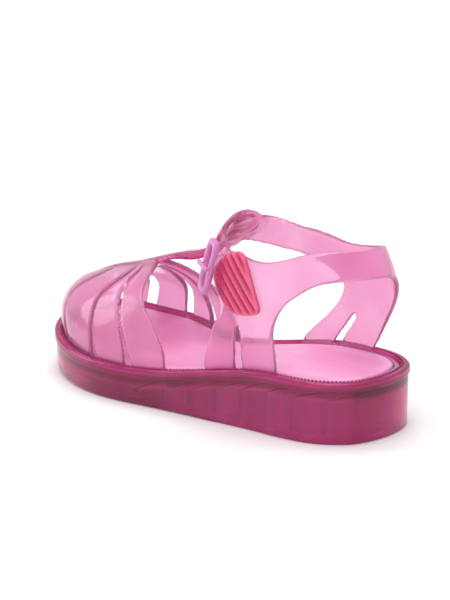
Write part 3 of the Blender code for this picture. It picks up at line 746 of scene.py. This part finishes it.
def chart_panel(name, loop, surface, away, up, down, spacing, lift=None):
    """A curved sheet with the given edge; up and down are offsets along the normal."""
    edge = np.asarray(loop)
    du = spacing / LENGTH
    dv = spacing / UPPER_H
    low, high = edge.min(0), edge.max(0)
    grid = []
    for r in range(1, int((high[1] - low[1]) / dv) + 1):
        for c in range(1, int((high[0] - low[0]) / du) + 1):
            grid.append((low[0] + (c + 0.5 * (r % 2)) * du, low[1] + r * dv))
    grid = np.asarray(grid)
    scale = np.array([du, dv])
    near = ((grid[:, None] / scale - edge[None] / scale) ** 2).sum(2).min(1)
    grid = grid[(near > EDGE_CLEAR) & inside(grid, loop)]
    chart = [tuple(map(float, p)) for p in list(edge) + list(grid)]
    flat = [Vector((u / du, v / dv)) for u, v in chart]
    n = len(loop)
    edges = [(i, (i + 1) % n) for i in range(n)]
    done = delaunay_2d_cdt(flat, edges, [], 1, CHART_WELD)
    top, bottom = [], []
    for u, v in chart:
        point = surface(u, v)
        normal = normal_of(surface, u, v, away(u, v))
        more = lift(u, v) if lift else 0
        top.append(point + normal * (up + more))
        bottom.append(point + normal * down)
    faces = []
    total = len(chart)
    for tri in done[2]:
        a, b, c = [done[3][v][0] for v in tri]
        faces.append((a, b, c))
        faces.append((total + c, total + b, total + a))
    for i in range(n):
        j = (i + 1) % n
        faces.append((j, i, total + i, total + j))
    return new_object(name, top + bottom, faces)


def ribbon(name, centres, widths, normals, halves, up, down):
    """A strap through the given centres, with a slightly crowned outer face."""
    rings = []
    ups = np.broadcast_to(up, len(centres))
    downs = np.broadcast_to(down, len(centres))
    for c, w, n, half, up, down in zip(centres, widths, normals, halves, ups, downs):
        ring = []
        for a, b in ((-1, down), (-1, up * 0.6), (-0.8, up), (-0.4, up), (0, up), (0.4, up),
                     (0.8, up), (1, up * 0.6), (1, down), (0.4, down), (-0.4, down)):
            ring.append(c + w * (a * half) + n * b)
        rings.append(ring)
    return loft(name, rings)


def spaced_rows(rows, count):
    """Smooth rows along a path, spaced evenly by the row number."""
    tab = tuple(map(tuple, np.c_[np.arange(len(rows)), np.asarray(rows, float)]))
    return [look_up(tab, u) for u in np.linspace(0, len(rows) - 1, count)]


def turns(count):
    """Cosine and sine at even steps round a circle."""
    return [(math.cos(2 * math.pi * k / count), math.sin(2 * math.pi * k / count))
            for k in range(count)]


def tapered(low, high, low_r, high_r):
    """Upright peg between two points."""
    rings = []
    for z, centre, radius in ((0, low, low_r * 0.7), (0.12, low, low_r), (1, high, high_r)):
        height = low[2] + (high[2] - low[2]) * z
        rings.append([(centre[0] + c * radius, centre[1] + s * radius, height)
                      for c, s in turns(PEG_SIDES)])
    return loft("peg", rings)


def rib_between(t, d, low, high):
    """Thin cross wall inside the hollow sole."""
    half = RIB_T / LENGTH / 2
    ts = [t + half * (2 * k / (RIB_POINTS - 1) - 1) for k in range(RIB_POINTS)]
    rings = []
    for height in (low, high):
        ring = []
        for side, order in ((1, 1), (-1, -1)):
            for at in ts[::order]:
                x, y = side_point(side, at, d)
                ring.append((x, y, float(height(at))))
        rings.append(ring)
    return loft("rib", rings)


def wall_in(drop):
    """How far the outer wall is drawn in at a depth below the rim."""
    low = FOOT_INSET * 0.9
    return LIP_GROOVE + (low - LIP_GROOVE) * min(1.0, (drop - LIP_H) / WALL_LEAN_H)


def heights(rule, ts):
    """The values of a height rule at many shares of the length."""
    steps = np.linspace(-0.01, 1.01, 200)
    return np.interp(ts, steps, [float(rule(a)) for a in steps])


def painted_shade_under_lip(places):
    """Painted shade on the outer wall: near 1 in a soft band under the lip, less lower down in the
    forefoot, a little on the rest of the wall and none at the toe. Outside the forefoot the wall's foot
    stays light, which is painted light from the floor.
    """
    t = share(places[:, 1])
    drop = heights(rim, t) - places[:, 2]
    # Painted shade under the overhanging lip.
    band = rising(drop, BAND_RISE) * falling(drop, BAND_FALL)
    # Painted shade lower down the wall in the forefoot.
    solid = SOLID_SHADE * rising(t, SOLID_RISE) * falling(t, SOLID_FALL)
    # Painted light: outside the forefoot the wall lightens towards its foot, as if lit through the
    # jelly from the floor.
    upper_wall = WALL_SHADE * rising(places[:, 2] - heights(foot_edge, t), WALL_RISE)
    upper_wall *= falling(t, WALL_FALL)
    return np.maximum(band, np.where(drop < LIP_H, 0.0, np.maximum(solid, upper_wall)))


def below_rim(drop):
    """Height rule that follows the rim at a depth below it."""
    return lambda t: rim(t) - drop


def above_foot(lift):
    """Height rule that follows the wall's lower edge at a height above it."""
    return lambda t: foot_edge(t) + lift


def make_platform():
    """Side wall, rim and top plate in one, hollow, ribbed and pegged from below."""
    base = sole_outline(OUTLINE_N)
    turned = [math.pi / 2 * k / RIM_STEPS for k in range(1, RIM_STEPS + 1)]
    section = [
        (WALL, below_rim(FLOOR_DROP + PLATE_T)),
        (WALL, above_foot(0)),
        (FOOT_INSET + FOOT_ROUND, above_foot(0)),
        (FOOT_INSET + FOOT_ROUND * 0.35, above_foot(FOOT_ROUND * 0.2)),
        (FOOT_INSET * 0.9, above_foot(FOOT_ROUND)),
        *[(wall_in(drop), below_rim(drop)) for drop in BAND_ROWS],
        (LIP_GROOVE, below_rim(LIP_H)),
        (LIP_GROOVE * 0.9, below_rim(LIP_H * 0.93)),
        (0.0, below_rim(LIP_H * 0.80)),
        (0.0, below_rim(RIM_ROUND)),
        *[(RIM_ROUND * (1 - math.cos(a)), below_rim(RIM_ROUND * (1 - math.sin(a))))
          for a in turned],
        (RIM_W - RIM_ROUND * 0.5, rim),
        (RIM_W - RIM_ROUND * 0.15, below_rim(RIM_ROUND * 0.15)),
        (RIM_W, below_rim(RIM_ROUND * 0.6)),
        (RIM_W, below_rim(FLOOR_DROP)),
    ]
    body = capped_loft("platform_wall", [sole_ring(base, d, height) for d, height in section])
    low = above_foot(OUTSOLE_T + TREAD_D)
    top = below_rim(FLOOR_DROP + PLATE_T * 0.5)
    ribs = [rib_between(t, WALL * 0.7, low, top) for t in np.arange(RIB_FIRST, RIB_LAST, RIB_STEP)]
    combine(body, joined("ribs", ribs), "UNION")
    pegs = []
    for x, y in evenly(drawn_in(FINE, WALL + PEG_TOP_R * 1.6), spacing=PEG_STEP):
        t = share(y)
        place = (t - RIB_FIRST) / RIB_STEP
        near_rib = abs(place - round(place)) * RIB_STEP * LENGTH
        if t > PEG_LAST or near_rib < PEG_TOP_R + RIB_T:
            continue
        pegs.append(tapered((x, y, low(t) + GAP), (x, y, top(t)), PEG_LOW_R, PEG_TOP_R))
    combine(body, joined("pegs", pegs), "UNION")
    soft_edges(body)
    # Painted shade under the lip and down the wall, kept on the platform's points.
    mark(body, "painted_shade_under_lip", painted_shade_under_lip)
    return body


def seat(t):
    """Height at which the insole and the upper's ring lie inside the rim."""
    return rim(t) - FLOOR_DROP + GAP


def make_insole():
    """Soft footbed, dished in the middle, with a rolled edge."""
    base = sole_outline(OUTLINE_N)
    edge = UPPER_IN + GAP + RING_W + GAP
    section = [(edge + INSOLE_T * d, INSOLE_T * h) for d, h in INSOLE_ROWS]
    inset, top = section[-1]
    for k in range(1, ROLL_STEPS + 1):
        f = k / ROLL_STEPS
        section.append((inset + f * INSOLE_ROLL, top - INSOLE_DISH * smooth(f)))
    rings = [sole_ring(base, d, lambda t, lift=lift: seat(t) + lift) for d, lift in section]
    pad = capped_loft("insole_pad", rings)
    soft_edges(pad, 50)
    return pad


def make_ring():
    """The moulded edge that joins every strap inside the rim."""
    base = sole_outline(OUTLINE_N)
    outer = UPPER_IN + GAP * 0.7
    inner = outer + RING_W
    top = below_rim(RING_TOP)
    section = ((outer, seat), (outer, top), (inner, top), (inner, seat))
    return loft("ring", [sole_ring(base, d, height) for d, height in section], closed=True)


def bar_normal(side, q, h, point):
    """Unit normal of the cage, level below the rim."""
    crest_t, inwards, rim_t = CAGE_MIDDLE
    away = np.array([crest(crest_t)[0], point[1] * inwards, rim(rim_t)])
    n = normal_of(lambda u, v: cage(side, u, v), min(q, 0.99), max(h, 0.02), away)
    if h <= 0:
        n[2] = 0
        n /= np.linalg.norm(n)
    return n


def make_bars():
    """Cage bars between the slits, on both sides of the spine."""
    bars = []
    levels = [-1.0, 0.0] + [BAR_TOP * k / BAR_LEVELS for k in range(1, BAR_LEVELS + 1)]
    for side, table in ((1, SLITS_OUT), (-1, SLITS_IN)):
        last = len(table[0]) - 3
        for k in range(last + 1):
            rings = []
            for h in levels:
                row = look_up(table, h)
                a = row[k] + (row[-1] if k else 0)
                b = row[k + 1] - row[-1] if k < last else 1.0 - SPINE_COVER
                line_out, line_in = [], []
                for j in range(BAR_ACROSS):
                    q = a + (b - a) * j / (BAR_ACROSS - 1)
                    point = cage(side, q, h)
                    line_out.append(point)
                    line_in.append(point - bar_normal(side, q, h, point) * SHELL_T)
                rings.append(line_out + line_in[::-1])
            bars.append(loft("bar", rings))
    return bars


def spine_deep(t):
    """How much thicker the spine is where it runs free between the cage and the head."""
    return SPINE_DEEP * float(falling(t, SPINE_DEEP_FALL) * rising(t, SPINE_DEEP_RISE))


def run_at(places, k):
    """Unit direction of a path at its place k."""
    run = places[min(k + 1, len(places) - 1)] - places[max(k - 1, 0)]
    return run / np.linalg.norm(run)


def square_to(run, v):
    """Unit vector of v with its part along run taken out."""
    w = v - run * np.dot(run, v)
    return w / np.linalg.norm(w)


def make_spine():
    """The strap over the middle of the forefoot, up to the head plate."""
    rows = []
    for h in SPINE_TOE:
        back = SPINE_BACK if h <= 0 else 0
        rows.append(tuple(cage(1, 1.0, h) + np.array([0, back, 0])))
    rows += [tuple(crest(t)) for t in SPINE_CREST]
    centres = spaced_rows(rows, SPINE_STEPS)
    widths, normals, halves = [], [], []
    for k in range(SPINE_STEPS):
        run = run_at(centres, k)
        w = square_to(run, np.array([1.0, 0, 0]))
        n = np.cross(w, run)
        if n[2] - n[1] < 0:
            n = -n
        widths.append(w)
        normals.append(n)
        wider = SPINE_WIDER * float(rising(k / SPINE_STEPS, SPINE_WIDER_RISE))
        halves.append(SPINE_W / 2 * (1 + wider))
    downs = [-SHELL_T - spine_deep(share(c[1])) for c in centres]
    return ribbon("spine", centres, widths, normals, halves, SPINE_UP, downs)


def head_axes():
    """Directions across the head plate, up along it and out of its front."""
    up = np.array([0, math.cos(HEAD_TILT), math.sin(HEAD_TILT)])
    across = np.array([1.0, 0, 0])
    return across, up, np.cross(across, up)


def head_point(x, z, lift):
    """Point of the head plate, bent round the ankle; x across, z up the plate."""
    across, up, out = head_axes()
    sag = HEAD_SAG * (2 * x / HEAD_W) ** 2
    return placed(HEAD_AT) + across * x + up * z + out * lift + np.array([0, sag, -sag * HEAD_DROOP])


def make_head():
    """Oval plate over the ankle strap, with a raised border and one slot across it."""
    rings = [[head_point(c * HEAD_W / 2 * size, s * HEAD_L / 2 * size, height * HEAD_T)
              for c, s in turns(HEAD_AROUND)] for size, height in HEAD_ROWS]
    plate = loft("head", rings)
    run = HEAD_SLOT_L / 2 - HEAD_SLOT_W / 2
    slot = [[head_point(math.copysign(run, c) + c * HEAD_SLOT_W / 2, s * HEAD_SLOT_W / 2, z)
             for c, s in turns(SLOT_AROUND)] for z in (-HEAD_T, HEAD_T)]
    return combine(plate, loft("slot", slot), "DIFFERENCE")


def make_strap():
    """Band over the front of the ankle, from the inner side through the head to the buckle."""
    rows = [np.concatenate([placed(r[:3]), r[3:]]) for r in spaced_rows(STRAP_PATH, STRAP_STEPS)]
    centres = [r[:3] for r in rows]
    widths, normals = [], []
    for k, r in enumerate(rows):
        run = run_at(centres, k)
        w = square_to(run, r[3:])
        n = np.cross(run, w)
        if np.dot(n, r[:3] - placed(STRAP_MIDDLE)) < 0:
            n = -n
        widths.append(w)
        normals.append(n)
    to_end = [min(k, STRAP_STEPS - 1 - k) for k in range(STRAP_STEPS)]
    sunk = np.array([STRAP_SINK * (1 - float(smooth(k / STRAP_BLEND_ROWS))) for k in to_end])
    return ribbon("strap", centres, widths, normals, [STRAP_W / 2] * STRAP_STEPS,
                  -sunk, sunk - SHELL_T)


def ankle_away(u, v):
    """A point inside the foot, level with a place on the heel's surface."""
    return np.array([0.0, LENGTH * (0.5 - max(abs(u), HEEL_MIDDLE)), v * UPPER_H])


def make_rear():
    """Legs, quarters, heel band and inner ankle band in one curved sheet."""
    rows = [(s, v if v else (seat(abs(s)) + GAP * 2) / UPPER_H) for s, v in REAR_EDGE]
    loop = fitted_edge(rows, REAR_SHARP, PANEL_EDGE, lambda p: ankle(p[0], p[1]))
    return chart_panel("rear", loop, ankle, ankle_away, 0.0, -SHELL_T, PANEL_GRID)


def painted_shade_thick_parts(places):
    """Painted shade: 1 in the slot of the head plate and along the spine, less over the rest of the
    head.
    """
    across, up, out = head_axes()
    from_head = places - placed(HEAD_AT)
    x, z, lift = from_head @ across, from_head @ up, from_head @ out
    flat = falling(np.abs(lift), (HEAD_T, HEAD_T))
    plate = falling(np.hypot(x / (HEAD_W / 2), z / (HEAD_L / 2)), (1.0, 0.3))
    slot = falling(np.hypot(np.maximum(np.abs(x) - HEAD_SLOT_L / 2, 0), z),
                   (HEAD_SLOT_W * 0.5, HEAD_SLOT_W))
    t = share(places[:, 1])
    steps = np.linspace(0.44, 0.94, 110)
    line = np.array([crest(a) for a in steps])
    near = np.hypot(places[:, 0] - np.interp(t, steps, line[:, 0]),
                    places[:, 2] - np.interp(t, steps, line[:, 2]))
    spine = falling(near, (SPINE_W * 0.75, SPINE_W * 0.4))
    spine *= CREST_SHADE + (1 - CREST_SHADE) * falling(t, CREST_FALL)
    spine *= falling(t, SPINE_FALL)
    return np.maximum(flat * np.maximum(HEAD_SHADE * plate, slot), np.where(t > SPINE_FROM, spine, 0.0))


def make_upper():
    """Every strap of the upper melted into one moulded piece with rounded edges."""
    parts = make_bars() + [make_ring(), make_spine(), make_head(), make_rear(), make_strap()]
    upper = joined("upper_shell", parts)
    melt = upper.modifiers.new("melt", "REMESH")
    melt.mode = "VOXEL"
    melt.voxel_size = VOXEL
    melt.use_smooth_shade = True
    soft = upper.modifiers.new("soften", "SMOOTH")
    soft.factor = 0.5
    soft.iterations = SOFTEN
    evaluated(upper)
    all_smooth(upper)
    # Painted shade in the head's slot, along the spine and over the head plate.
    mark(upper, "thick", painted_shade_thick_parts)
    return upper


def make_tail():
    """Free end of the ankle strap, with slanting ribs and its front part in the frame."""
    loop = fitted_edge(TAIL_EDGE, (), TAIL_EDGE_STEP, lambda p: ankle(p[0], p[1]))
    edge = np.asarray(loop)
    deep = []

    def ribs(u, v):
        from_edge = np.min(np.hypot((edge[:, 0] - u) * LENGTH, (edge[:, 1] - v) * UPPER_H))
        wave = 0.5 + 0.5 * math.cos(2 * math.pi * (u + TAIL_RIB_SLANT * v) / TAIL_RIB_STEP)
        inner = float(smooth(from_edge / TAIL_BORDER))
        # Painted shade in the grooves between the ribs, and painted shadow of the buckle frame at the
        # front.
        deep.append(max((1 - wave) * inner, float(falling(u, TAIL_SHADOW_FALL))))
        return TAIL_RIB * wave ** TAIL_RIB_SHARP * inner

    tail = chart_panel("strap_end", loop, ankle, ankle_away, TAIL_OFF + TAIL_T, TAIL_OFF,
                       TAIL_GRID, lift=ribs)
    rest = len(tail.data.vertices) - len(deep)
    # The underside gets half as much painted shade.
    layer = tail.data.attributes.new("tail_painted_shade", "FLOAT", "POINT")
    layer.data.foreach_set("value", deep + [TAIL_SIDE_SHADE] * rest)
    soft_edges(tail, 60)
    return tail


def make_dots():
    """Row of small moulded dots between the rim and the upper."""
    parts = []
    for x, y in evenly(drawn_in(FINE, RIM_W - DOT_R * 1.3), spacing=DOT_STEP):
        bm = bmesh.new()
        bmesh.ops.create_uvsphere(bm, u_segments=8, v_segments=6, radius=DOT_R)
        dot = from_bmesh("dot", bm)
        dot.data.transform(Matrix.Translation((x, y, float(rim(share(y))) + DOT_R * 0.1)))
        parts.append(dot)
    row = joined("rim_dots", parts)
    all_smooth(row)
    return row


def unit(v):
    """The direction of a vector, with length 1."""
    v = np.asarray(v, float)
    return v / np.linalg.norm(v)


def buckle_axes():
    """Middle of the buckle frame and its across, up and outward directions."""
    run = unit(FRAME_RUN)
    up = square_to(run, unit(FRAME_UP))
    out = np.cross(run, up)
    if out[0] < 0:
        out = -out
    return placed(FRAME_AT) + out * (FRAME_BAR / 2 + FRAME_OFF), run, up, out


def squared(x, power):
    """A cosine or sine drawn towards 1 and -1, which squares a circle off."""
    return math.copysign(abs(x) ** power, x)


def make_frame():
    """Rounded frame of the buckle, fuller at its front than at its back."""
    at, run, up, out = buckle_axes()
    rings = []
    for c, s in turns(FRAME_AROUND):
        long = squared(c, FRAME_SQUARE)
        wide = squared(s, FRAME_SQUARE)
        ring = []
        for bc, bs in turns(FRAME_SIDES):
            off = (squared(bc, BAR_SQUARE) - 1) * FRAME_BAR / 2
            thick = squared(bs, BAR_SQUARE) * FRAME_BAR * (0.5 if bs > 0 else FRAME_BACK)
            ring.append(at + up * (long * (FRAME_L / 2 + off))
                        + run * (wide * (FRAME_W / 2 + off)) + out * thick)
        rings.append(ring)
    frame_piece = loft("buckle_frame_soft", rings, closed=True)
    soft_edges(frame_piece, 80)
    return frame_piece


def make_prong():
    """Pin across the frame with a rounded tip."""
    at, run, up, out = buckle_axes()
    lift = FRAME_BAR * 0.5 + GAP + PRONG_D / 2
    rings = []
    for place, thick in PRONG_ROWS:
        r = PRONG_D / 2 * thick
        rings.append([at + run * (place * FRAME_W) + out * (lift + s * r) + up * (c * r)
                      for c, s in turns(PRONG_SIDES)])
    prong = loft("buckle_prong_soft", rings)
    soft_edges(prong, 80)
    return prong


def noise_in(tree, scale, detail=3.0, drawn_out=(1.0, 1.0, 1.0)):
    """Noise over the piece's own place in waves per metre; shares under 1 draw it out."""
    where = tree.nodes.new("ShaderNodeTexCoord")
    drawn = tree.nodes.new("ShaderNodeMapping")
    drawn.inputs["Scale"].default_value = drawn_out
    noise = tree.nodes.new("ShaderNodeTexNoise")
    noise.inputs["Scale"].default_value = scale
    noise.inputs["Detail"].default_value = detail
    tree.links.new(where.outputs["Object"], drawn.inputs["Vector"])
    tree.links.new(drawn.outputs["Vector"], noise.inputs["Vector"])
    return noise


def ramp_in(tree, source, low, high, start=0.35, end=0.65):
    """Colours or greys from one value to another as the source rises."""
    ramp = tree.nodes.new("ShaderNodeValToRGB")
    ramp.color_ramp.elements[0].position = start
    ramp.color_ramp.elements[1].position = end
    ramp.color_ramp.elements[0].color = low
    ramp.color_ramp.elements[1].color = high
    tree.links.new(source, ramp.inputs["Fac"])
    return ramp


def grey(value):
    return (value, value, value, 1.0)


def plastic(name, dark, light, rough, clear, wave=900.0, bump=0.05, absorb=None,
            drawn_out=(1.0, 1.0, 1.0), shine=0.5):
    """Moulded plastic: flow marks in its colour, drawn out into streaks where asked, uneven gloss and a
    faintly wavy skin. On the insole the lighter streaks are painted sheen.
    """
    mat = bpy.data.materials.new(name)
    mat.use_nodes = True
    tree = mat.node_tree
    skin = tree.nodes["Principled BSDF"]
    skin.inputs["IOR"].default_value = JELLY_IOR
    skin.inputs["Transmission Weight"].default_value = clear
    skin.inputs["Specular IOR Level"].default_value = shine
    # Flow marks in the colour; on the insole, drawn out lengthwise, their lighter streaks are painted
    # sheen.
    flow_marks_and_sheen = noise_in(tree, FLOW_AND_SHEEN_WAVE, drawn_out=drawn_out)
    colour = ramp_in(tree, flow_marks_and_sheen.outputs["Fac"], (*dark, 1.0), (*light, 1.0))
    tree.links.new(colour.outputs["Color"], skin.inputs["Base Color"])
    gloss = noise_in(tree, GLOSS_WAVE)
    rough_ramp = ramp_in(tree, gloss.outputs["Fac"], grey(rough[0]), grey(rough[1]))
    tree.links.new(rough_ramp.outputs["Color"], skin.inputs["Roughness"])
    ripple = noise_in(tree, wave, 2.0)
    relief = tree.nodes.new("ShaderNodeBump")
    relief.inputs["Strength"].default_value = bump
    relief.inputs["Distance"].default_value = RIPPLE_H
    tree.links.new(ripple.outputs["Fac"], relief.inputs["Height"])
    tree.links.new(relief.outputs["Normal"], skin.inputs["Normal"])
    if absorb:
        depth = tree.nodes.new("ShaderNodeVolumeAbsorption")
        depth.inputs["Color"].default_value = (*absorb[0], 1.0)
        depth.inputs["Density"].default_value = absorb[1]
        tree.links.new(depth.outputs["Volume"], tree.nodes["Material Output"].inputs["Volume"])
    return mat


def tinted_by(mat, attribute, tint):
    """Multiply a material's colour by a tint where the piece's own mark is 1."""
    tree = mat.node_tree
    skin = tree.nodes["Principled BSDF"]
    colour = skin.inputs["Base Color"].links[0].from_socket
    reader = tree.nodes.new("ShaderNodeAttribute")
    reader.attribute_name = attribute
    mix = tree.nodes.new("ShaderNodeMix")
    mix.data_type = "RGBA"
    mix.blend_type = "MULTIPLY"
    mix.inputs[7].default_value = (*tint, 1.0)
    tree.links.new(reader.outputs["Fac"], mix.inputs[0])
    tree.links.new(colour, mix.inputs[6])
    tree.links.new(mix.outputs[2], skin.inputs["Base Color"])
    return mat


def make_looks():
    """Material of each piece: dark and light colour, roughness range, how clear it is."""
    upper = plastic("clear_pink", (0.92, 0.43, 0.69), (0.96, 0.53, 0.77), (0.06, 0.13), 0.76,
                    absorb=((1.0, 0.30, 0.66), 55.0))
    platform = plastic("deep_magenta", (0.74, 0.042, 0.26), (0.98, 0.085, 0.43), (0.07, 0.13), 0.70,
                       bump=0.02, absorb=((0.95, 0.45, 0.70), 20.0), drawn_out=(1.0, 1.0, 0.12),
                       shine=0.3)
    outsole = plastic("tread_magenta", (0.72, 0.085, 0.31), (0.80, 0.11, 0.36), (0.20, 0.30), 0.5)
    # Insole: its lighter lengthwise streaks are painted sheen.
    insole = plastic("satin_pink_painted_sheen", (0.90, 0.33, 0.61), (1.0, 0.50, 0.78), (0.28, 0.40), 0.0,
                     wave=2600.0, bump=0.12, drawn_out=(1.0, 0.18, 1.0))
    dots = plastic("dot_magenta", (0.26, 0.02, 0.10), (0.32, 0.03, 0.13), (0.25, 0.35), 0.0)
    tail = plastic("ribbed_coral", (0.98, 0.12, 0.28), (1.0, 0.18, 0.33), (0.20, 0.30), 0.10,
                   bump=0.01)
    buckle = plastic("orchid", (0.80, 0.26, 0.61), (0.88, 0.35, 0.71), (0.12, 0.22), 0.35)
    return {
        # Upper: painted shade on its thick parts, the head's slot, the spine and the head plate.
        "upper": tinted_by(upper, "thick", THICK_SHADE_TINT),
        # Platform: painted shade under the lip and down the wall.
        "platform": tinted_by(platform, "painted_shade_under_lip", LIP_SHADE_TINT),
        "outsole": outsole,
        "insole": insole,
        "dots": dots,
        # Strap end: painted shade in its grooves and painted shadow of the buckle at its front.
        "tail": tinted_by(tail, "tail_painted_shade", TAIL_SHADE_TINT),
        "buckle": buckle,
    }


looks = make_looks()
dress(make_platform(), looks["platform"], "platform_jelly", "platform")
dress(make_insole(), looks["insole"], "insole_satin", "insole")
dress(make_upper(), looks["upper"], "upper_jelly", "upper")
dress(make_tail(), looks["tail"], "tail_coral", "strap_tail")
dress(make_frame(), looks["buckle"], "buckle_orchid", "buckle_frame")
dress(make_prong(), looks["buckle"], "buckle_orchid", "buckle_prong")
dress(make_dots(), looks["dots"], "platform_jelly")

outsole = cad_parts["outsole"]
outsole.data.materials.clear()
outsole.data.materials.append(looks["outsole"])

# Stage: pale floor, soft lights and the photograph's view of the one shoe.
VIEW_AZIMUTH = math.radians(130.5)
VIEW_ELEVATION = math.radians(16.2)
VIEW_DISTANCE = 1.43
VIEW_AIM = Vector((0.0, 0.0, 0.040))
LENS = 206.0
SENSOR = 36.0
CLIP_START = 0.05
FLOOR_HALF = 6.0
FLOOR_GREYS = (0.93, 0.95)
WORLD_LIGHT = 0.75
# Name, place, size and power of each light.
LIGHTS = (
    ("key", (0.7, 0.3, 1.7), 1.2, 8.0),
    ("top", (-0.4, -0.2, 1.6), 1.2, 9.0),
    ("toe_side", (0.4, -1.2, 0.7), 0.9, 5.0),
)
LIGHT_AIM = Vector((0.0, 0.0, 0.03))


def floor_material():
    mat = bpy.data.materials.new("pale_floor")
    mat.use_nodes = True
    tree = mat.node_tree
    skin = tree.nodes["Principled BSDF"]
    cloud = noise_in(tree, 2.0)
    shade = ramp_in(tree, cloud.outputs["Fac"], *map(grey, FLOOR_GREYS))
    tree.links.new(shade.outputs["Color"], skin.inputs["Base Color"])
    skin.inputs["Roughness"].default_value = 0.6
    return mat


def make_floor():
    bm = bmesh.new()
    bmesh.ops.create_grid(bm, x_segments=8, y_segments=8, size=FLOOR_HALF)
    floor = from_bmesh("floor", bm)
    floor.data.materials.append(floor_material())


def soft_light(name, place, size, power):
    """A round area light that looks at the shoe."""
    data = bpy.data.lights.new(name, "AREA")
    data.shape = "DISK"
    data.size = size
    data.energy = power
    light = linked(name, data)
    light.location = place
    light.rotation_mode = "QUATERNION"
    light.rotation_quaternion = (LIGHT_AIM - Vector(place)).to_track_quat("-Z", "Y")


def make_camera():
    """The photograph's view, with the one shoe in the middle."""
    camera = linked("camera", bpy.data.cameras.new("camera"))
    back = Vector((math.sin(VIEW_AZIMUTH) * math.cos(VIEW_ELEVATION),
                   -math.cos(VIEW_AZIMUTH) * math.cos(VIEW_ELEVATION),
                   math.sin(VIEW_ELEVATION)))
    camera.location = VIEW_AIM + back * VIEW_DISTANCE
    camera.rotation_mode = "QUATERNION"
    camera.rotation_quaternion = (-back).to_track_quat("-Z", "Y")
    camera.data.lens = LENS
    camera.data.sensor_width = SENSOR
    camera.data.clip_start = CLIP_START
    bpy.context.scene.camera = camera


def make_stage():
    """White surroundings, floor, lights and camera."""
    scene = bpy.context.scene
    world = bpy.data.worlds.new("studio")
    scene.world = world
    world.use_nodes = True
    background = world.node_tree.nodes["Background"]
    background.inputs["Color"].default_value = (1.0, 1.0, 1.0, 1.0)
    background.inputs["Strength"].default_value = WORLD_LIGHT
    scene.view_settings.view_transform = "Standard"
    make_floor()
    for light in LIGHTS:
        soft_light(*light)
    make_camera()


make_stage()
